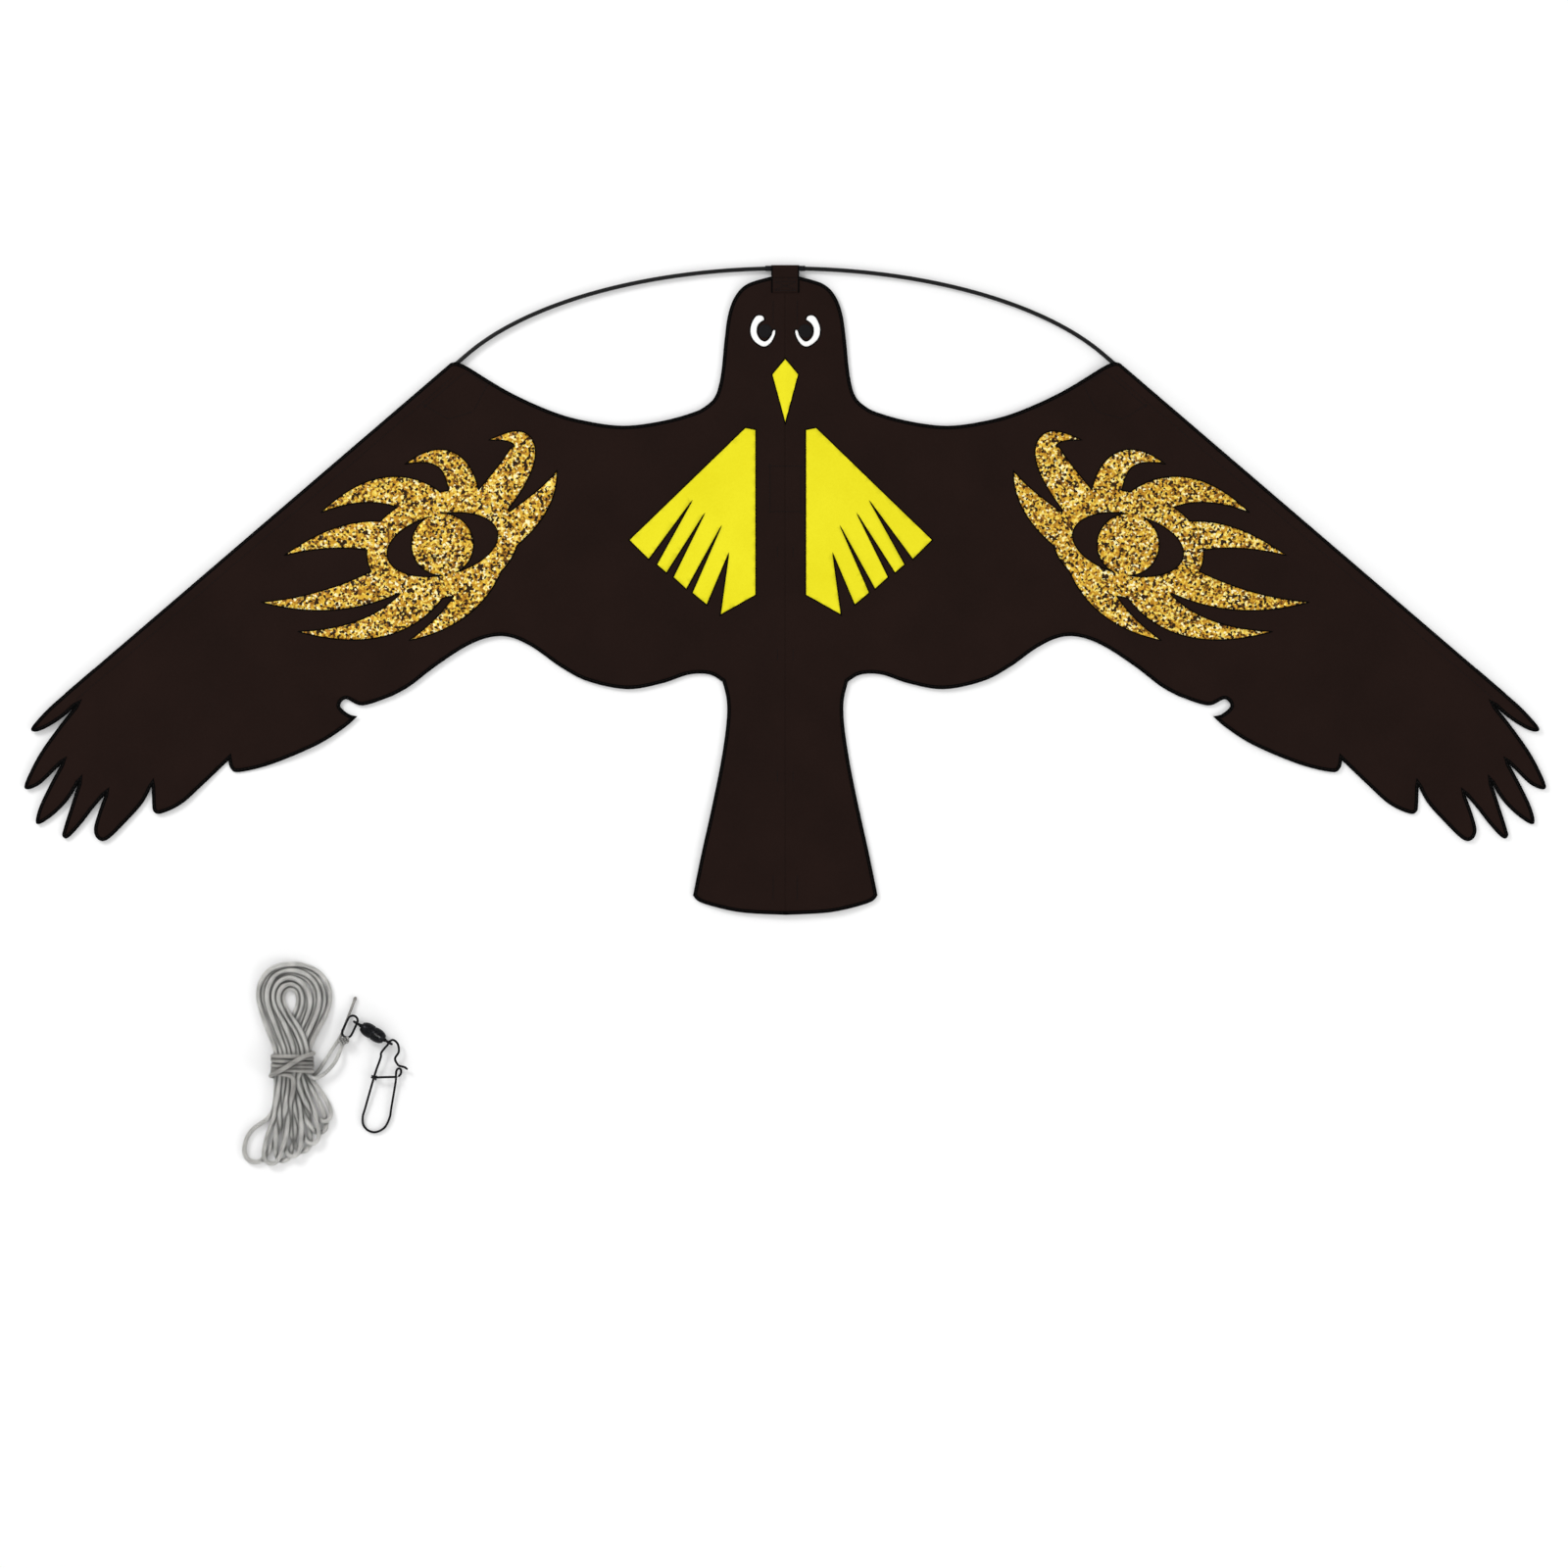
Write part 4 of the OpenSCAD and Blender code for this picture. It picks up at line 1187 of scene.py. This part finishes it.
flame_loops, flame_keep = flame_parts()
CHEST_SHIFT = -4.3
for name, side in SIDES:
    chest = mirror(CHEST, side) + (CHEST_SHIFT, 0)
    for part in decal(f"chest_feathers_{name}", [chest], YELLOW, 6.0):
        bend_with(part)
    decal(f"eye_{name}", [mirror(spline(CRESCENT, 3, closed=True), side)], WHITE, 2.5, "kite_body")
    pupil = mirror(ellipse(PUPIL_AT, PUPIL_R, PUPIL_R, 0, 30), side)
    decal(f"pupil_{name}", [pupil], PUPIL, 2.5, "kite_body", border=False)
    decal(f"flame_eye_{name}", [mirror(l, side) for l in flame_loops], GLITTER, 6.0,
          f"{name}_wing", keep=lambda p: flame_keep(p * (side, 1)))
decal("beak", [np.array(BEAK, float)], YELLOW, 3.0, "kite_body")

# ---------------- rods and sleeves

ROD_SIDES = 20
# points of a sleeve's or pocket's profile that lie against the sail
FLANGE = (8, 9, 10, 11)
for name, side in SIDES:
    phis = np.linspace(math.asin(0.3 / BOW_A), bow_phi, 70)
    path = [(BOW_A * math.sin(p), BOW_TOP - BOW_B + BOW_B * math.cos(p), ROD_Z) for p in phis]
    path += [(*on_edge(a), ROD_Z) for a in np.linspace(0, STRAIGHT, 40)[1:]]
    tube = tube_mesh(np.multiply(path, (side, 1, 1)), ROD_R, ROD_SIDES)
    rod = bend_with(piece(f"bow_rod_{name}_round", tube, ROD))
    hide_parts(f"bow_rod_{name}", *(["bow_inner_ends"] if side > 0 else []))


def under_sail(x, y, drop):
    return float(sail_under([(x, y)])[0]) - drop


def edge_band(places, profile):
    """Cloth below the right leading edge: a closed profile (out, z) swept along the rod, whose
    flange points lie against the sail."""
    rings = []
    for along in places:
        ring = []
        for k, (u, z) in enumerate(profile):
            at = on_edge(along, u)
            ring.append((*at, under_sail(*at, z) if k in FLANGE else z))
        rings.append(ring)
    return swept(rings, flip=True)


SLEEVE = [(3.75, 4.2), (3.9, 3.2), (3.3, 1.8), (1.9, 0.9), (0.3, 0.6), (-1.5, 0.8), (-3.0, 1.7),
          (-4.6, 3.3), (-6.2, 0.5), (-9.5, 0.5), (-9.5, 0.05), (-6.4, 0.05), (-4.3, 3.9),
          (-2.7, 2.1), (-1.4, 1.25), (0.3, 1.05), (1.7, 1.3), (2.9, 2.1), (3.45, 3.2), (3.4, 4.1)]
POCKET = [(3.9, 4.4), (4.3, 3.1), (3.7, 1.4), (2.1, 0.5), (0.3, 0.2), (-1.8, 0.4), (-3.6, 1.4),
          (-5.2, 3.1), (-6.8, 0.95), (-10.5, 0.95), (-10.5, 0.4), (-6.9, 0.4), (-4.9, 3.6),
          (-3.3, 1.9), (-1.7, 0.85), (0.3, 0.6), (1.9, 0.9), (3.3, 1.7), (3.9, 3.1), (3.6, 4.3)]
for name, side in SIDES:
    for kind, node, start, end, profile, material, steps in (
            ("fold", f"sleeve_{name}", SLEEVE_FROM, POCKET_TO + 1, SLEEVE, CLOTH, 60),
            ("tape", f"tip_pocket_{name}", SLEEVE_TO, POCKET_TO + 2, POCKET, TRIM, 12)):
        band = edge_band(np.linspace(start, end, steps), profile)
        piece(f"{node}_{kind}", mirrored(band, side), material, f"{name}_wing", node)

# ---------------- tapes and pockets

# right half of a tunnel's outside and inside: (x, z or depth below the sail, 1 for a flange)
TIE_OUT = [(9.5, 0.5, 1), (5.2, 0.5, 1), (3.1, 4.3, 0), (2.75, 2.9, 0), (2.1, 1.4, 0),
           (1.1, 0.75, 0), (0, 0.55, 0)]
TIE_IN = [(9.5, 0.04, 1), (4.8, 0.04, 1), (2.7, 4.4, 0), (2.3, 2.9, 0), (1.7, 1.8, 0),
          (0.9, 1.2, 0), (0, 1.05, 0)]
BAG_OUT = [(14, 0.55, 1), (6.2, 0.55, 1), (3.7, 4.3, 0), (3.35, 2.9, 0), (2.6, 1.2, 0),
           (1.4, 0.4, 0), (0, 0.15, 0)]
BAG_IN = [(14, 0.04, 1), (5.8, 0.04, 1), (3.2, 4.4, 0), (2.85, 2.9, 0), (2.15, 1.6, 0),
          (1.15, 0.75, 0), (0, 0.55, 0)]


def tunnel_ring(outer, inner, y, shut=0.0):
    """One cross-section of a cloth tunnel under the spine; shut from 0, open, to 1, flat."""
    ring = []
    for half, depth, way in ((outer, 0.5, 1), (inner, 0.04, -1)):
        for x, z, flange in [*half, *((-x, z, f) for x, z, f in half[-2::-1])][::way]:
            flat = under_sail(x, y, depth)
            ring.append((x, y, under_sail(x, y, z) if flange else z + (flat - z) * shut))
    return ring


def tunnel(name, outer, inner, ys, shuts, width, *nodes):
    """Cloth tunnel under the spine, sewn to the sail along both its flanges."""
    rings = [tunnel_ring(outer, inner, y, shut) for y, shut in zip(ys, shuts)]
    piece(name, swept(rings), TRIM, "kite_body", *nodes)
    rows = [row for x in (-width, width)
            for row in sewn_through([(x, min(ys) + 1.5), (x, max(ys) - 1.5)], 0.08, 0.62, 2.6)]
    piece(f"{name}_seams", joined(rows), THREAD, "kite_body")


for k, y in enumerate((214, 36, -62, -178)):
    tunnel(f"spine_tie_{k + 1}", TIE_OUT, TIE_IN, y + np.linspace(-8, 8, 5), [0] * 5, 7.4,
           *["spine_ties"][k:])
# a pocket's cross-sections from its mouth, and how far each is shut
BAG_PLACES = [*np.linspace(0, 25.6, 6), 26.2, 26.9, 27.6, 28.0]
BAG_SHUT = (0, 0, 0, 0, 0, 0, 0.12, 0.45, 0.8, 0.97)
for name, mouth, way in (("head_pocket", 250, 1), ("tail_pocket", -270, -1)):
    tunnel(f"{name}_tape", BAG_OUT, BAG_IN, [mouth + way * at for at in BAG_PLACES], BAG_SHUT, 11.5,
           name)


def patch(node, loop, thick, body):
    """Flat reinforcement sewn under the sail, with its seam showing on top."""
    name = f"{node}_cloth"
    flat, tris, rims = triangulated([filled_in(loop, 3.0)], 6.0)
    under = sail_under(flat)
    piece(name, sheet_mesh(flat, tris, rims, under - 0.03, under - thick), TRIM, body, node)
    edge = filled_in(loop, 1.0)
    if signed_area(edge) < 0:
        edge = edge[::-1]
    line = edge + inward(edge) * 2.4
    rows = sewn_through(np.vstack([line, line[0]]), 0.08, thick + 0.08, 2.8)
    piece(f"{name}_seams", joined(rows), THREAD, body)


SHOULDER_PATCH = [(281, 196), (302, 209), (308, 208.5), (347, 175), (322, 160), (296, 168)]
for name, side in SIDES:
    patch(f"shoulder_patch_{name}", mirror(SHOULDER_PATCH, side), 0.4, f"{name}_wing")
tow_corners = [(x * TOW_HALF[0], TOW_Y + y * TOW_HALF[1])
               for x, y in ((-1, -1), (1, -1), (1, 1), (-1, 1))]
patch("tow_patch", tow_corners, 0.35, "kite_body")

# strap of the head: sewn on the crown, round the bow and back under the cloth
STRAP_HALF, STRAP_T, STRAP_HEM, STRAP_R = 13.3, 0.5, 1.4, (3.15, 2.66)


def strap_ring(x):
    """Cross-section of the strap at x: (y, z) round its outside and back along its inside."""
    top = [(y, float(sail_top([(x, y)])[0]) + 0.12 + STRAP_T) for y in (283, 287, 291, 295)]
    around = np.radians(np.linspace(108, -112, 16))
    outer, inner = ([(BOW_TOP + r * math.cos(a), ROD_Z + r * math.sin(a)) for a in around]
                    for r in STRAP_R)
    bottom, back = ([(y, under_sail(x, y, drop)) for y in (291, 283)] for drop in (0.5, 0.02))
    bottom = [(299, 3.2), (295.5, 4.6), *bottom]
    back = [*back[::-1], (295.8, 5.1), (299.5, 3.7)]
    under = [(y, z - STRAP_T) for y, z in top]
    return [(x, y, z) for y, z in [*top, *outer, *bottom, *back, *inner[::-1], *under[::-1]]]


strap_edge = [STRAP_HALF - inwards for inwards in (0, 0.25, STRAP_HEM)]
xs = [*(-x for x in strap_edge), *np.linspace(-11, 11, 9), *strap_edge[::-1]]
strap = piece("head_strap", swept([strap_ring(x) for x in xs]), CLOTH, "kite_body", "head_tab")
strap.data.materials.append(HEM)
for face in strap.data.polygons:
    if abs(face.center.x) > (STRAP_HALF - STRAP_HEM) * MM:
        face.material_index = 1
# a box of stitches with a cross in it
rows = [stitches_on([(x0, y0), (x1, y1)], sail_top, 0.7, 2.6)
        for x0, y0, x1, y1 in ((-11.5, 285, 11.5, 285), (-11.5, 293.5, 11.5, 293.5),
                               (-11, 285, 11, 293.5), (11, 285, -11, 293.5))]
piece("head_strap_seams", joined(rows), THREAD, "kite_body")

# tow tab: folded webbing with a hole for the eyelet
TOW_X, TAB_HALF, TAB_HOLE = 11.8, 6.5, 4.1
tab_edge = [(3.4, TOW_Y - TAB_HALF),
            *((TOW_X + TAB_HALF * math.sin(a), TOW_Y - TAB_HALF * math.cos(a))
              for a in np.linspace(0, math.pi, 25)), (3.4, TOW_Y + TAB_HALF)]
hole = ellipse((TOW_X, TOW_Y), TAB_HOLE, TAB_HOLE, 0, 28)
flat, tris, rims = triangulated([filled_in(tab_edge, 1.2), hole], 1.4)
edge_gap = np.minimum(gap_to(flat, np.array(tab_edge)), gap_to(flat, hole))
soft = 0.28 * np.clip(1 - edge_gap / 1.1, 0, 1) ** 2
piece("tow_tab_webbing", sheet_mesh(flat, tris, rims, 5.1 - soft, 3.9 + soft), TRIM, "tow_loop",
      "tow_tab")

# ---------------- floor and finish

floor_mat = Shader("floor_look", Specular_IOR_Level=0.1)
floor_mat.colour(floor_mat.ramp(floor_mat.noise(3.0, 2.0), (0.3, (0.93, 0.93, 0.93)),
                                (0.7, (0.95, 0.95, 0.95))))
floor_mat.rough(0.9)
bpy.ops.mesh.primitive_plane_add(size=9, location=(0, 0, -0.0003))
floor = bpy.context.object
floor.name = "floor"
floor.data.materials.append(floor_mat.mat)

for node, material in {"spine_rod": ROD, "spine_caps": VINYL, "bow_ferrule": METAL,
                       "tow_eyelet": METAL, "tip_cap_left": VINYL, "tip_cap_right": VINYL}.items():
    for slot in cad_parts[node].material_slots:
        slot.material = material

for name, side in SIDES:
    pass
